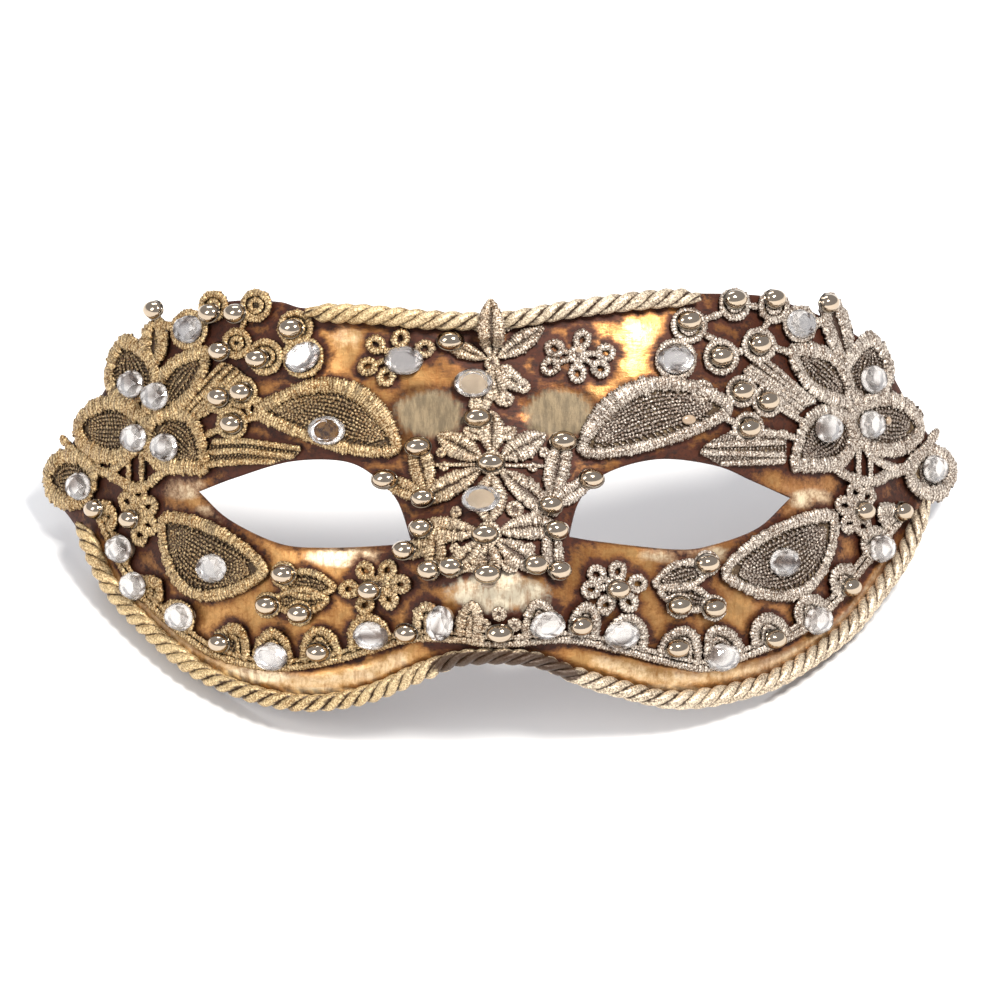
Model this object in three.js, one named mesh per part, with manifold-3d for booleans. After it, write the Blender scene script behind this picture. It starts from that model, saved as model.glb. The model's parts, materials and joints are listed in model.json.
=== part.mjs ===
// A half-face carnival mask of papier-mache with a gilded, patinated front: a curved shell with two almond
// eye holes, a twisted cord along its upper and lower edges, corded lace appliques, clear faceted stones and
// half-round metal beads. Everything is in millimetres.
//
// The pieces are laid out on the face as it is seen from the front: x to the right, y up the forehead and z
// forwards, with a place given as [x, y]. A piece's lift is its height above the shell, along the surface's
// own normal. At the end the whole mask is turned to the way it lies by itself, face up: on the rear edge of
// its lower rim, under both cheeks, with the temples just clear of the table.

import * as THREE from "three";
import { mergeVertices } from "three/addons/utils/BufferGeometryUtils.js";
import Module from "manifold-3d";

const wasm = await Module();
wasm.setup();

// The form of the face

const FACE = {
  middleX: -0.4, // the line about which the sides turn back
  flatHalf: 10, // half the width that is flat across
  wrapSpan: 85, // distance over which the sides turn back
  wrapSlope: 1.5, // slope of the temples, where they end
  crownY: 4, // height of the foremost line across
  crownRadius: 140, // roundness from forehead to cheek
};
const NOSE = {
  x: -1, // the nose stands a little to the left
  bridgeY: 22, // where the bridge starts
  tipY: -20,
  endY: -38,
  height: 18, // of the tip above the cheeks
  tuck: 5, // fall of the ridge from the tip to the lower edge
  bridgeSpread: 8, // spread of the ridge, at the bridge and at the tip
  tipSpread: 15,
};
const SOCKET = { x: 41, y: -1, spreadX: 22, spreadY: 13, depth: 3 };
const WALL = 2.5;
const CLEAR = 0.3; // gap between touching pieces
const SHELL_COLUMNS = 32;
const SHELL_ROWS = 5; // above the rolled band
const EYE_CUT = { front: 36, back: 84 }; // reach of the cuts, from the middle of the forehead

// The edges of the shell, from the left temple to the right

const UPPER_EDGE = [
  [-98.8, 7], [-94.2, 11.5], [-89.6, 18], [-85.6, 24.7], [-81.4, 31], [-77.1, 34.6], [-70.7, 37.6],
  [-64.3, 41.2], [-57.9, 42.9], [-47.2, 42.6], [-42.7, 41.3], [-27.9, 40.6], [-14.2, 39.4], [0.7, 39.4],
  [14.9, 41.7], [32.4, 43.9], [43.3, 44.4], [57.6, 43.9], [64.1, 41.8], [68.3, 40.3], [73.7, 37.8],
  [79, 34.6], [83.3, 30.6], [89.7, 19.8], [94, 13.8], [98.6, 9],
];
const LOWER_EDGE = [
  [-98.8, 1], [-95, -2.6], [-91.2, -8], [-85.3, -19.3], [-76.7, -28.5], [-66.2, -37], [-54.4, -42.3],
  [-41, -44.5], [-27.9, -42.4], [-15.8, -37.3], [-7.9, -34.9], [6.8, -35.1], [15.6, -38.2], [24.1, -40.9],
  [38, -43.8], [56.2, -40.7], [66.9, -35.3], [76.3, -28.3], [83, -20.2], [88.9, -12], [93.4, -2],
  [96, 2], [98.6, 4.4],
];
const EYES = {
  left: {
    corner: [-64.9, 1.8],
    brow: [[-56.8, 4.8], [-45, 8.2], [-33.7, 8.3], [-27.1, 5.2], [-22, -0.2], [-19, -8.7]],
    cheek: [[-23.4, -9.6], [-37.5, -10.2], [-47.4, -9.3], [-58.3, -4.2]],
  },
  right: {
    corner: [62.5, 0.4],
    brow: [[54.4, 4], [46.1, 7.4], [33.7, 8.7], [22.4, 5.5], [17, -0.2], [14.7, -7.8]],
    cheek: [[21.5, -8.9], [38, -10.6], [46.1, -9.5], [55.5, -6]],
  },
};
// The rolled band inside the lower cord: it fades out under the nose and at the temples, and is narrower as
// seen from the front where the sides turn back.
const RIM = { inset: 4.6, halfWidth: 2.2, height: 1, sideShare: 0.72 };
const RIM_REACH = { noseEnd: 12, noseFull: 22, sideFrom: 45, sideTo: 75, templeFull: 82, templeEnd: 90 };

// The cords along the edges

const CORD = { radius: 2.15, groove: 0.72, strands: 3, turn: 21, step: 3.5, inset: 0.9, gap: 0.4 };
const CORD_ENDS = { lower: [-92.6, 94], upper: [-41.5, 42.8] };
const TAPER = { length: 6, least: 0.45 };
const LINE_SAMPLES = 400; // along an edge or along the border's line

// The lace: lifts of its underside, of the net in its leaves and of the cords sewn round them

const LACE = { base: 0.8, net: 1.15, cord: 1.7, cordWidth: 1.4 };
const BAR = { base: 0.9, top: 1.5, width: 2 }; // single cords from leaf to leaf
const SATIN = { shoulder: 0.5, sides: 6 }; // a satin leaf rises from this far inside its edge
const NETTED = { sides: 8, broadSides: 12, sunk: 0.5 };
const RING_SIDES = 8;
const PETALS = { count: 6, dip: 0.7, crest: 0.8 }; // of a small flower, as shares of its radius
const OVER_CORD = { start: -5.5, full: -3, sides: 14 }; // where a leaf climbs, from the middle of the cord
const SEWN = 0.9; // lift down to which rings, stitches and dabs of glue reach into the leaves
const DAB = { share: 0.36, sides: 3 }; // width of a dab of glue, as a share of the stone above it
const SEAT = LACE.cord + CLEAR; // lift of the undersides of the stones and beads

// The stones and beads are all of one size each

const STONE = { width: 8.6, height: 6.3, thick: 2.7, table: 0.55, sides: 8 };
const BEAD = { width: 6.1, height: 4.4, thick: 2.5, shoulder: 0.82, shoulderUp: 0.55, sides: 5 };

function smoothStep(from, to, value) {
  const t = Math.min(Math.max((value - from) / (to - from), 0), 1);
  return t * t * (3 - 2 * t);
}

function bell(distance, spread) {
  return Math.exp(-0.5 * (distance / spread) ** 2);
}

// Height of an edge at x: a smooth curve through the edge's points.
function edgeAt(edge, x) {
  let i = 0;
  while (i < edge.length - 2 && edge[i + 1][0] < x) i += 1;
  const slopeAt = (j) => {
    const before = edge[Math.max(j - 1, 0)];
    const after = edge[Math.min(j + 1, edge.length - 1)];
    return (after[1] - before[1]) / (after[0] - before[0]);
  };
  const [x0, y0] = edge[i];
  const [x1, y1] = edge[i + 1];
  const span = x1 - x0;
  const t = Math.min(Math.max((x - x0) / span, 0), 1);
  const rise = y1 - y0;
  const bendStart = slopeAt(i) * span - rise;
  const bendEnd = slopeAt(i + 1) * span - rise;
  return y0 + rise * t + t * (1 - t) * (bendStart * (1 - t) - bendEnd * t);
}

function wrapDrop(x) {
  const t = Math.max(Math.abs(x - FACE.middleX) - FACE.flatHalf, 0) / FACE.wrapSpan;
  const turned = t < 1 ? t ** 3 - t ** 4 / 2 : t - 0.5;
  return FACE.wrapSlope * FACE.wrapSpan * turned;
}

// Height of the shell's front, measured from the middle of the forehead.
function faceHeight(x, y) {
  const crown = (y - FACE.crownY) ** 2 / (2 * FACE.crownRadius);
  const swell = NOSE.height * smoothStep(NOSE.bridgeY, NOSE.tipY, y);
  const tuck = NOSE.tuck * smoothStep(NOSE.tipY, NOSE.endY, y);
  const spread =
    NOSE.bridgeSpread + (NOSE.tipSpread - NOSE.bridgeSpread) * smoothStep(NOSE.bridgeY, NOSE.tipY, y);
  const ridge = (swell - tuck) * bell(x - NOSE.x, spread);
  const socket =
    SOCKET.depth * bell(Math.abs(x - NOSE.x) - SOCKET.x, SOCKET.spreadX) * bell(y - SOCKET.y, SOCKET.spreadY);
  return ridge - wrapDrop(x) - crown - socket;
}

function faceNormal(x, y) {
  const step = 0.1;
  const slopeX = (faceHeight(x + step, y) - faceHeight(x - step, y)) / (2 * step);
  const slopeY = (faceHeight(x, y + step) - faceHeight(x, y - step)) / (2 * step);
  return new THREE.Vector3(-slopeX, -slopeY, 1).normalize();
}

// The point that shows at x, y from the front and stands `lift` above the shell.
function onFace(x, y, lift) {
  let footX = x;
  let footY = y;
  let normal = faceNormal(footX, footY);
  const passes = 5;
  for (let pass = 0; pass < passes; pass += 1) {
    footX = x - normal.x * lift;
    footY = y - normal.y * lift;
    normal = faceNormal(footX, footY);
  }
  return new THREE.Vector3(x, y, faceHeight(footX, footY) + normal.z * lift);
}

// Solids from rings of points and fans

function meshOf(points, triangles) {
  const geometry = new THREE.BufferGeometry();
  geometry.setFromPoints(points);
  geometry.setIndex(triangles);
  return geometry;
}

// A closed solid through rings of equal count, each counter-clockwise as seen from the last ring's side.
// `bottom` and `top` are the points in which its two ends come together.
function stack(rings, bottom, top) {
  const count = rings[0].length;
  const points = [...rings.flat(), bottom, top];
  const bottomIndex = points.length - 2;
  const topIndex = points.length - 1;
  const last = (rings.length - 1) * count;
  const triangles = [];
  for (let i = 0; i < count; i += 1) {
    const next = (i + 1) % count;
    triangles.push(bottomIndex, next, i);
    triangles.push(topIndex, last + i, last + next);
    for (let level = 0; level < last; level += count) {
      triangles.push(level + i, level + next, level + count + next);
      triangles.push(level + i, level + count + next, level + count + i);
    }
  }
  return meshOf(points, triangles);
}

function solidOf(geometry) {
  const bare = geometry.clone();
  bare.deleteAttribute("normal");
  bare.deleteAttribute("uv");
  const merged = mergeVertices(bare, 1e-4);
  return new wasm.Manifold(
    new wasm.Mesh({
      numProp: 3,
      vertProperties: new Float32Array(merged.attributes.position.array),
      triVerts: new Uint32Array(merged.index.array),
    }),
  );
}

function geometryOf(solid) {
  const mesh = solid.getMesh();
  const geometry = new THREE.BufferGeometry();
  geometry.setAttribute("position", new THREE.BufferAttribute(mesh.vertProperties, 3));
  geometry.setIndex(new THREE.BufferAttribute(mesh.triVerts, 1));
  return geometry;
}

function fused(geometries) {
  return geometryOf(geometries.map(solidOf).reduce((whole, piece) => whole.add(piece)));
}

// The shell

// How far above the lower edge a step square to that edge reaches at x.
function edgeStretch(x) {
  return Math.hypot(1, (edgeAt(LOWER_EDGE, x + 1) - edgeAt(LOWER_EDGE, x - 1)) / 2);
}

function rimNarrowing(x) {
  return 1 - (1 - RIM.sideShare) * smoothStep(RIM_REACH.sideFrom, RIM_REACH.sideTo, Math.abs(x));
}

function rimSwell(x, y) {
  const distance = (y - edgeAt(LOWER_EDGE, x)) / edgeStretch(x) / rimNarrowing(x);
  const start = smoothStep(RIM_REACH.noseEnd, RIM_REACH.noseFull, Math.abs(x));
  const end = 1 - smoothStep(RIM_REACH.templeFull, RIM_REACH.templeEnd, Math.abs(x));
  return RIM.height * start * end * Math.max(1 - Math.abs(distance - RIM.inset) / RIM.halfWidth, 0);
}

// Heights at which the shell is sampled at x: the edge, the rolled band's sides and crest, then evenly.
function shellRows(x) {
  const low = edgeAt(LOWER_EDGE, x);
  const high = edgeAt(UPPER_EDGE, x);
  const most = (high - low) / (2 * (RIM.inset + RIM.halfWidth));
  const stretch = Math.min(edgeStretch(x) * rimNarrowing(x), most);
  const rows = [0, RIM.inset - RIM.halfWidth, RIM.inset, RIM.inset + RIM.halfWidth];
  const heights = rows.map((distance) => low + distance * stretch);
  const start = heights.at(-1);
  for (let j = 1; j <= SHELL_ROWS; j += 1) heights.push(start + ((high - start) * j) / SHELL_ROWS);
  return heights;
}

function shellGeometry() {
  const startX = UPPER_EDGE[0][0];
  const endX = UPPER_EDGE.at(-1)[0];
  const front = [];
  const back = [];
  for (let i = 0; i <= SHELL_COLUMNS; i += 1) {
    const x = startX + ((endX - startX) * i) / SHELL_COLUMNS;
    for (const y of shellRows(x)) {
      front.push(onFace(x, y, rimSwell(x, y)));
      back.push(onFace(x, y, -WALL));
    }
  }
  const points = [...front, ...back];
  const behind = front.length;
  const rows = front.length / (SHELL_COLUMNS + 1);
  const at = (i, j) => i * rows + j;
  const last = rows - 1;
  const triangles = [];
  const quad = (a, b, c, d) => triangles.push(a, b, c, a, c, d);
  for (let i = 0; i < SHELL_COLUMNS; i += 1) {
    for (let j = 0; j < last; j += 1) {
      quad(at(i, j), at(i + 1, j), at(i + 1, j + 1), at(i, j + 1));
      quad(behind + at(i, j), behind + at(i, j + 1), behind + at(i + 1, j + 1), behind + at(i + 1, j));
    }
    quad(at(i + 1, 0), at(i, 0), behind + at(i, 0), behind + at(i + 1, 0));
    quad(at(i, last), at(i + 1, last), behind + at(i + 1, last), behind + at(i, last));
  }
  for (let j = 0; j < last; j += 1) {
    const i = SHELL_COLUMNS;
    quad(at(0, j), at(0, j + 1), behind + at(0, j + 1), behind + at(0, j));
    quad(at(i, j + 1), at(i, j), behind + at(i, j), behind + at(i, j + 1));
  }
  return meshOf(points, triangles);
}

function eyePrism({ corner, brow, cheek }) {
  const toVectors = (places) => places.map(([x, y]) => new THREE.Vector2(x, y));
  const outline = new THREE.Shape();
  outline.moveTo(...corner);
  outline.splineThru(toVectors(brow));
  outline.splineThru(toVectors([...cheek, corner]));
  const depth = EYE_CUT.front + EYE_CUT.back;
  const prism = new THREE.ExtrudeGeometry(outline, { depth, bevelEnabled: false, curveSegments: 2 });
  prism.translate(0, 0, -EYE_CUT.back);
  return prism;
}

// The cords

function edgePath(edge, [fromX, toX], inset) {
  const path = [];
  for (let i = 0; i <= LINE_SAMPLES; i += 1) {
    const x = fromX + ((toX - fromX) * i) / LINE_SAMPLES;
    const slope = edgeAt(edge, x + 0.5) - edgeAt(edge, x - 0.5);
    const length = Math.hypot(1, slope);
    path.push(new THREE.Vector2(x - (slope / length) * inset, edgeAt(edge, x) + inset / length));
  }
  return path;
}

function cordGeometry(edge, ends, inset) {
  const lift = CORD.radius + CORD.gap;
  const line = edgePath(edge, ends, inset).map(({ x, y }) => onFace(x, y, lift));
  const curve = new THREE.CatmullRomCurve3(line);
  curve.arcLengthDivisions = 5 * LINE_SAMPLES;
  const length = curve.getLength();
  const steps = Math.round(length / CORD.step);
  const sides = CORD.strands * 2;
  const rings = [];
  for (let i = 0; i <= steps; i += 1) {
    const along = (length * i) / steps;
    const centre = curve.getPointAt(i / steps);
    const ahead = curve.getTangentAt(i / steps);
    const out = faceNormal(centre.x, centre.y);
    const across = new THREE.Vector3().crossVectors(out, ahead).normalize();
    out.crossVectors(ahead, across);
    const fromEnd = Math.min(along, length - along);
    const size = TAPER.least + (1 - TAPER.least) * smoothStep(0, TAPER.length, fromEnd);
    const sink = ((1 - size) * CORD.radius) / 2;
    const ring = [];
    for (let side = 0; side < sides; side += 1) {
      const angle = (2 * Math.PI * side) / sides + (2 * Math.PI * along) / CORD.turn;
      const radius = CORD.radius * size * (side % 2 ? CORD.groove : 1);
      const point = centre.clone().addScaledVector(out, radius * Math.sin(angle) - sink);
      ring.push(point.addScaledVector(across, radius * Math.cos(angle)));
    }
    rings.push(ring);
  }
  return stack(rings, line[0], line.at(-1));
}

// The lace

// Places round a leaf, counter-clockwise, drawn in from its edge by `inset`. `bend` is how far the leaf's
// middle line bows to the left of the way from `from` to `to`, and `peak` is where along it it is widest.
function leafOutline({ from, to, width, bend = 0, peak = 0.5, round = 0.8 }, inset, count) {
  const start = new THREE.Vector2(...from);
  const ahead = new THREE.Vector2(...to).sub(start);
  const length = ahead.length();
  ahead.normalize();
  const left = new THREE.Vector2(-ahead.y, ahead.x);
  const skew = Math.log(0.5) / Math.log(peak);
  const half = count / 2;
  const place = (t, side) => {
    const along = inset + (length - 2 * inset) * t;
    const spread = (width / 2 - inset) * Math.sin(Math.PI * t ** skew) ** round;
    const bow = 4 * bend * (along / length) * (1 - along / length);
    return start.clone().addScaledVector(ahead, along).addScaledVector(left, bow + side * spread);
  };
  const places = [];
  for (let i = 0; i < half; i += 1) places.push(place(i / half, -1));
  for (let i = 0; i < half; i += 1) places.push(place(1 - i / half, 1));
  return places;
}

function leafMiddle({ from, to, bend = 0 }) {
  const ahead = new THREE.Vector2(to[0] - from[0], to[1] - from[1]);
  const left = new THREE.Vector2(-ahead.y, ahead.x).normalize();
  const middle = new THREE.Vector2((from[0] + to[0]) / 2, (from[1] + to[1]) / 2);
  return middle.addScaledVector(left, bend);
}

const lifted = (places, lift) => places.map(({ x, y }) => onFace(x, y, lift));

function toward(middle, places, share) {
  return places.map((place) => place.clone().lerp(middle, share));
}

// A netted leaf or petal with a cord sewn round its edge. A broad one follows the shell's curve inside too.
function nettedLeaf(leaf, broad = false) {
  const middle = leafMiddle(leaf);
  const count = broad ? NETTED.broadSides : NETTED.sides;
  const edge = leafOutline(leaf, 0, count);
  const crest = leafOutline(leaf, LACE.cordWidth / 2, count);
  const rings = [lifted(edge, LACE.base), lifted(crest, LACE.cord)];
  if (broad) {
    rings.unshift(lifted(toward(middle, edge, NETTED.sunk), LACE.base));
    rings.push(lifted(toward(middle, crest, NETTED.sunk), LACE.net));
  }
  return stack(rings, onFace(middle.x, middle.y, LACE.base), onFace(middle.x, middle.y, LACE.net));
}

// A small leaf of satin stitch, highest along its middle.
function satinLeaf(leaf) {
  const middle = leafMiddle(leaf);
  const rings = [
    lifted(leafOutline(leaf, 0, SATIN.sides), LACE.base),
    lifted(leafOutline(leaf, SATIN.shoulder, SATIN.sides), LACE.net),
  ];
  return stack(rings, onFace(middle.x, middle.y, LACE.base), onFace(middle.x, middle.y, LACE.cord));
}

function circlePlaces([x, y], radius, count, dip = 1) {
  const places = [];
  for (let i = 0; i < count; i += 1) {
    const angle = (2 * Math.PI * i) / count;
    const reach = radius * (i % 2 ? dip : 1);
    places.push(new THREE.Vector2(x + reach * Math.cos(angle), y + reach * Math.sin(angle)));
  }
  return places;
}

function ringDisc({ at, radius }) {
  const crest = circlePlaces(at, radius - LACE.cordWidth / 2, RING_SIDES);
  const rings = [lifted(circlePlaces(at, radius, RING_SIDES), SEWN), lifted(crest, LACE.cord)];
  return stack(rings, onFace(...at, SEWN), onFace(...at, LACE.net));
}

function flowerDisc({ at, radius }) {
  const { count, dip, crest } = PETALS;
  const rings = [
    lifted(circlePlaces(at, radius, count * 2, dip), LACE.base),
    lifted(circlePlaces(at, radius * crest, count * 2, dip), LACE.cord),
  ];
  return stack(rings, onFace(...at, LACE.base), onFace(...at, LACE.net));
}

// A closed strip through pairs of places on its two sides.
function strip(sides, base, top, slant) {
  const rings = sides.map(([right, left]) => {
    const inner = (from, to) => from.clone().lerp(to, slant / from.distanceTo(to));
    const foot = [onFace(right.x, right.y, base), onFace(left.x, left.y, base)];
    return [...foot, ...lifted([inner(left, right), inner(right, left)], top)];
  });
  const middle = ([right, left]) => onFace((right.x + left.x) / 2, (right.y + left.y) / 2, (base + top) / 2);
  return stack(rings, middle(sides[0]), middle(sides.at(-1)));
}

const smoothLine = (places) => new THREE.SplineCurve(places.map(([x, y]) => new THREE.Vector2(x, y)));

// The place beside a line, at a share of its length and so far to its left.
function beside(line, share, distance) {
  const ahead = line.getTangentAt(share);
  return line.getPointAt(share).add(new THREE.Vector2(-ahead.y, ahead.x).multiplyScalar(distance));
}

function bar(places) {
  const line = places.map(([x, y]) => new THREE.Vector2(x, y));
  const rings = line.map((place, i) => {
    const ahead = line[Math.min(i + 1, line.length - 1)].clone().sub(line[Math.max(i - 1, 0)]).normalize();
    const aside = new THREE.Vector2(-ahead.y, ahead.x).multiplyScalar(BAR.width / 2);
    const feet = [place.clone().sub(aside), place.clone().add(aside)];
    return [...lifted(feet, BAR.base), onFace(place.x, place.y, BAR.top)];
  });
  const middleLift = (BAR.base + BAR.top) / 2;
  return stack(rings, onFace(...places[0], middleLift), onFace(...places.at(-1), middleLift));
}

// The border: a narrow foot along a line, with arches standing on its left side.
function archedStrip({ line, foot, slant, leastStep, archSteps, arches }) {
  const curve = smoothLine(line);
  const length = curve.getLength();
  const shares = [0, 1];
  const raised = arches.map(({ at: [x, y], width, height }) => {
    const place = new THREE.Vector2(x, y);
    const away = (share) => curve.getPointAt(share).distanceTo(place);
    let share = 0;
    for (let i = 0; i <= LINE_SAMPLES; i += 1) {
      if (away(i / LINE_SAMPLES) < away(share)) share = i / LINE_SAMPLES;
    }
    const half = width / 2 / length;
    for (const step of archSteps) shares.push(share + step * half);
    return { share, half, height };
  });
  const reach = (share) => {
    const bows = raised.map((arch) => {
      const away = (share - arch.share) / arch.half;
      return (arch.height - foot) * Math.sqrt(Math.max(1 - away * away, 0));
    });
    return foot + Math.max(...bows);
  };
  const inside = shares.filter((share) => share >= 0 && share <= 1).sort((a, b) => a - b);
  const apart = inside.filter((share, i) => i === 0 || share - inside[i - 1] > leastStep / length);
  const sides = apart.map((share) => [beside(curve, share, 0), beside(curve, share, reach(share))]);
  return strip(sides, LACE.base, LACE.cord, slant);
}

// Where the lace lies. A leaf runs from its base to its tip.

const TEMPLE_LEFT = {
  netted: [
    { from: [-87.6, 5.6], to: [-99.9, 3.6], width: 12.2, round: 0.5 },
    { from: [-75.6, 15.2], to: [-93, 15.4], width: 13.6, round: 0.5 },
    { from: [-62.8, 6.4], to: [-76, 17.8], width: 13.4, peak: 0.6, round: 0.7 },
    { from: [-77.4, 18], to: [-81.2, 35.2], width: 9.8, peak: 0.5, round: 0.7 },
    { from: [-74, 17.2], to: [-62.6, 32.4], width: 9.2, bend: 1.2 },
    { from: [-86.4, 6.6], to: [-72, 7.4], width: 5.4, bend: -1.8 },
  ],
  satin: [{ from: [-75.4, 29.4], to: [-74.6, 38.4], width: 6.2, round: 0.6 }],
  rings: [
    { at: [-67.1, 36.8], radius: 4.3 },
    { at: [-61.8, 41.8], radius: 3.4 },
    { at: [-52.5, 41.8], radius: 3.6 },
    { at: [-43.9, 36.9], radius: 4 },
    { at: [-56.6, 33.7], radius: 3.4 },
    { at: [-50.4, 30.7], radius: 4 },
    { at: [-42.2, 30.6], radius: 4.6 },
  ],
  bars: [
    [[-96, 13.7], [-93.2, 11.1], [-89, 7.4], [-85.3, 6], [-81.6, 8.2], [-78.6, 11.4]],
    [[-70.6, 37.4], [-73.6, 38.4], [-74.6, 41.4]],
    [[-56, 36], [-54.4, 39.4]],
    [[-64.6, 31.2], [-59, 33]],
    [[-54, 32.6], [-52.6, 31.8]],
    [[-46.6, 30.8], [-46, 30.8]],
    [[-64.4, 32.4], [-65.6, 34]],
    [[-66.6, 16.4], [-60.4, 22.1], [-55.5, 23.2], [-51, 18.8]],
    [[-64, 13.6], [-57.6, 16.4], [-51.6, 18]],
  ],
  brow: { from: [-53.1, 18.6], to: [-21.2, 10.5], width: 14.3, bend: 4, peak: 0.55, round: 0.7 },
  beads: [
    [-62.5, 40.2], [-56.9, 40.1], [-44.8, 36.7], [-60.2, 32], [-52.1, 30.3], [-60.4, 22.1], [-55.5, 23.2],
    [-57.6, 16.4],
  ],
};
const TEMPLE_RIGHT = {
  netted: [
    { from: [88.2, 5.6], to: [99.9, 6.4], width: 11, round: 0.5 },
    { from: [75.2, 17.2], to: [92.6, 15.6], width: 13, round: 0.5 },
    { from: [62.6, 7.2], to: [76.4, 17.8], width: 13.2, peak: 0.6, round: 0.7 },
    { from: [79.2, 20.6], to: [79.8, 36], width: 10, peak: 0.45, round: 0.7 },
    { from: [76.2, 20.6], to: [62.2, 32.6], width: 9.8, bend: -1 },
    { from: [74.1, 6.6], to: [86.6, 7], width: 5.4, bend: -1.2 },
  ],
  satin: [{ from: [75, 30.4], to: [70.8, 44.6], width: 6.4, round: 0.6 }],
  rings: [
    { at: [64.7, 38], radius: 4 },
    { at: [59, 41.6], radius: 3.6 },
    { at: [50.4, 42], radius: 3.6 },
    { at: [40.5, 37.4], radius: 4 },
    { at: [55.7, 33.3], radius: 3.9 },
    { at: [47.4, 30.7], radius: 4 },
    { at: [37.7, 30.1], radius: 4.6 },
  ],
  bars: [
    [[95.9, 15.3], [92.2, 11.1], [87.5, 7], [82, 8.4], [78.6, 12]],
    [[67.8, 38.2], [70.6, 38.8]],
    [[56.6, 36.6], [58, 39]],
    [[55.8, 41.6], [53.4, 41.7]],
    [[48, 40.2], [43.4, 38.6]],
    [[63.6, 31.4], [59, 32.8]],
    [[52.6, 32.2], [50.6, 31.6]],
    [[46.8, 34], [43.6, 35.6]],
    [[66.8, 16], [57.5, 21.3], [51.9, 23.4], [47.8, 20.4]],
    [[64, 13.4], [53.4, 15.5], [47.4, 18]],
  ],
  brow: { from: [50, 20], to: [16.8, 10.2], width: 14.3, bend: -3.4, peak: 0.5, round: 0.65 },
  beads: [
    [50.4, 43.1], [59, 43.3], [40.5, 38.4], [47.3, 30.8], [55.7, 33.5], [51.9, 23.4], [57.5, 21.3],
    [53.4, 15.5],
  ],
};
const CHEEK_LEAVES = {
  left: { from: [-49.9, -15.4], to: [-73.4, -3.4], width: 16, bend: 4.4, round: 0.7 },
  right: { from: [47.4, -16], to: [72.7, -3], width: 16, bend: -4.2, round: 0.7 },
};
const SCROLLS = {
  left: {
    leaves: [
      { from: [-48.2, -17.2], to: [-35, -18.9], width: 6.4 },
      { from: [-49.4, -22], to: [-36.4, -21.4], width: 6 },
    ],
    beads: [[-46.4, -16], [-49.9, -22.6], [-43, -24.3]],
  },
  right: {
    leaves: [
      { from: [32.6, -18.1], to: [45.4, -14.4], width: 6.4 },
      { from: [33.6, -19.2], to: [46.4, -22.6], width: 6 },
    ],
    beads: [[44.4, -13.6], [38.4, -22.6], [45.9, -23.2]],
  },
};
const FLOWERS = {
  forehead_left: { at: [-22.4, 30.7], radius: 5.4 },
  forehead_right: { at: [16.6, 31.1], radius: 5.8 },
  cheek_inner_left: { at: [-25.6, -18.2], radius: 5, bead: [-27.9, -19.4] },
  cheek_inner_right: { at: [24.9, -18.3], radius: 5.4, bead: [25.2, -19.1] },
  cheek_outer_left: { at: [-79, -3.4], radius: 4, bead: [-80.1, -4.2] },
  cheek_outer_right: { at: [78, -2.6], radius: 4.2, bead: [78.8, -2.4] },
};
const FOREHEAD = {
  hub: { at: [-1.7, 29.4], radius: 2.8 },
  leaves: [
    { from: [-0.4, 30.4], to: [9.4, 37], width: 4 },
    { from: [-3, 30.2], to: [-12.6, 34], width: 3.2 },
    { from: [-0.6, 28.4], to: [5.4, 23.4], width: 3.8 },
    { from: [-1.4, 28], to: [0.4, 20], width: 3.4 },
    { from: [-2.2, 28], to: [-5.2, 16.6], width: 4.4 },
  ],
  overCord: { from: [-1.7, 30.2], to: [-2, 43], width: 5.4 },
  beads: [[-10.6, 34]],
};
const NOSE_LACE = {
  hubs: [
    { at: [-1.8, 7.8], radius: 2.8 },
    { at: [-2.5, -7.2], radius: 2.8 },
  ],
  leaves: [
    { from: [-1.7, 10], to: [-1.7, 19], width: 4.2 },
    { from: [-3.9, 8.9], to: [-13.4, 14], width: 4.2 },
    { from: [0.3, 8.9], to: [9.7, 14], width: 4.2 },
    { from: [-3.9, 6.6], to: [-18, -0.8], width: 4 },
    { from: [0.1, 6.4], to: [12.2, -3.4], width: 4.2 },
    { from: [-18.2, 13], to: [-15.4, 1.6], width: 4.3 },
    { from: [13.8, 14], to: [10.8, 0], width: 4.3 },
    { from: [10, -1.8], to: [21, 5.4], width: 3 },
    { from: [-15, 0], to: [-26.2, 5], width: 3 },
    { from: [-4.6, -6.9], to: [-18.6, -5.8], width: 4 },
    { from: [-0.2, -6.9], to: [13.4, -6.4], width: 4.2, bend: 1 },
    { from: [-4.2, -8.9], to: [-11.4, -16.4], width: 3.6 },
    { from: [-0.6, -8.7], to: [8.8, -14.8], width: 4.2 },
    { from: [-2.5, -9.4], to: [-2.6, -16.4], width: 4.6 },
    { from: [-13.4, -5.6], to: [-14.2, -17.2], width: 3.4 },
    { from: [-13.8, -9.4], to: [-21.8, -11.4], width: 3 },
    { from: [10.8, -5.4], to: [11.6, -17], width: 3.6 },
    { from: [-1.8, 5.4], to: [-2.4, -5], width: 5 },
  ],
  bars: [
    [[-4, 7.5], [-10, 7.5], [-15.6, 7.4]],
    [[0.4, 7.4], [6, 7.3], [11.2, 7.2]],
  ],
  beads: [
    [-17.5, 11.4], [-24.7, 4.4], [-16.4, 0.3], [-16.8, -6.1], [-20.4, -10.8], [-15.1, -15], [-10.4, -14.2],
    [7.6, -13.8], [12.6, -15], [12, -6.5], [10.8, -1.2], [13.5, 12.6], [19.5, 4.5],
  ],
};
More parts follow.
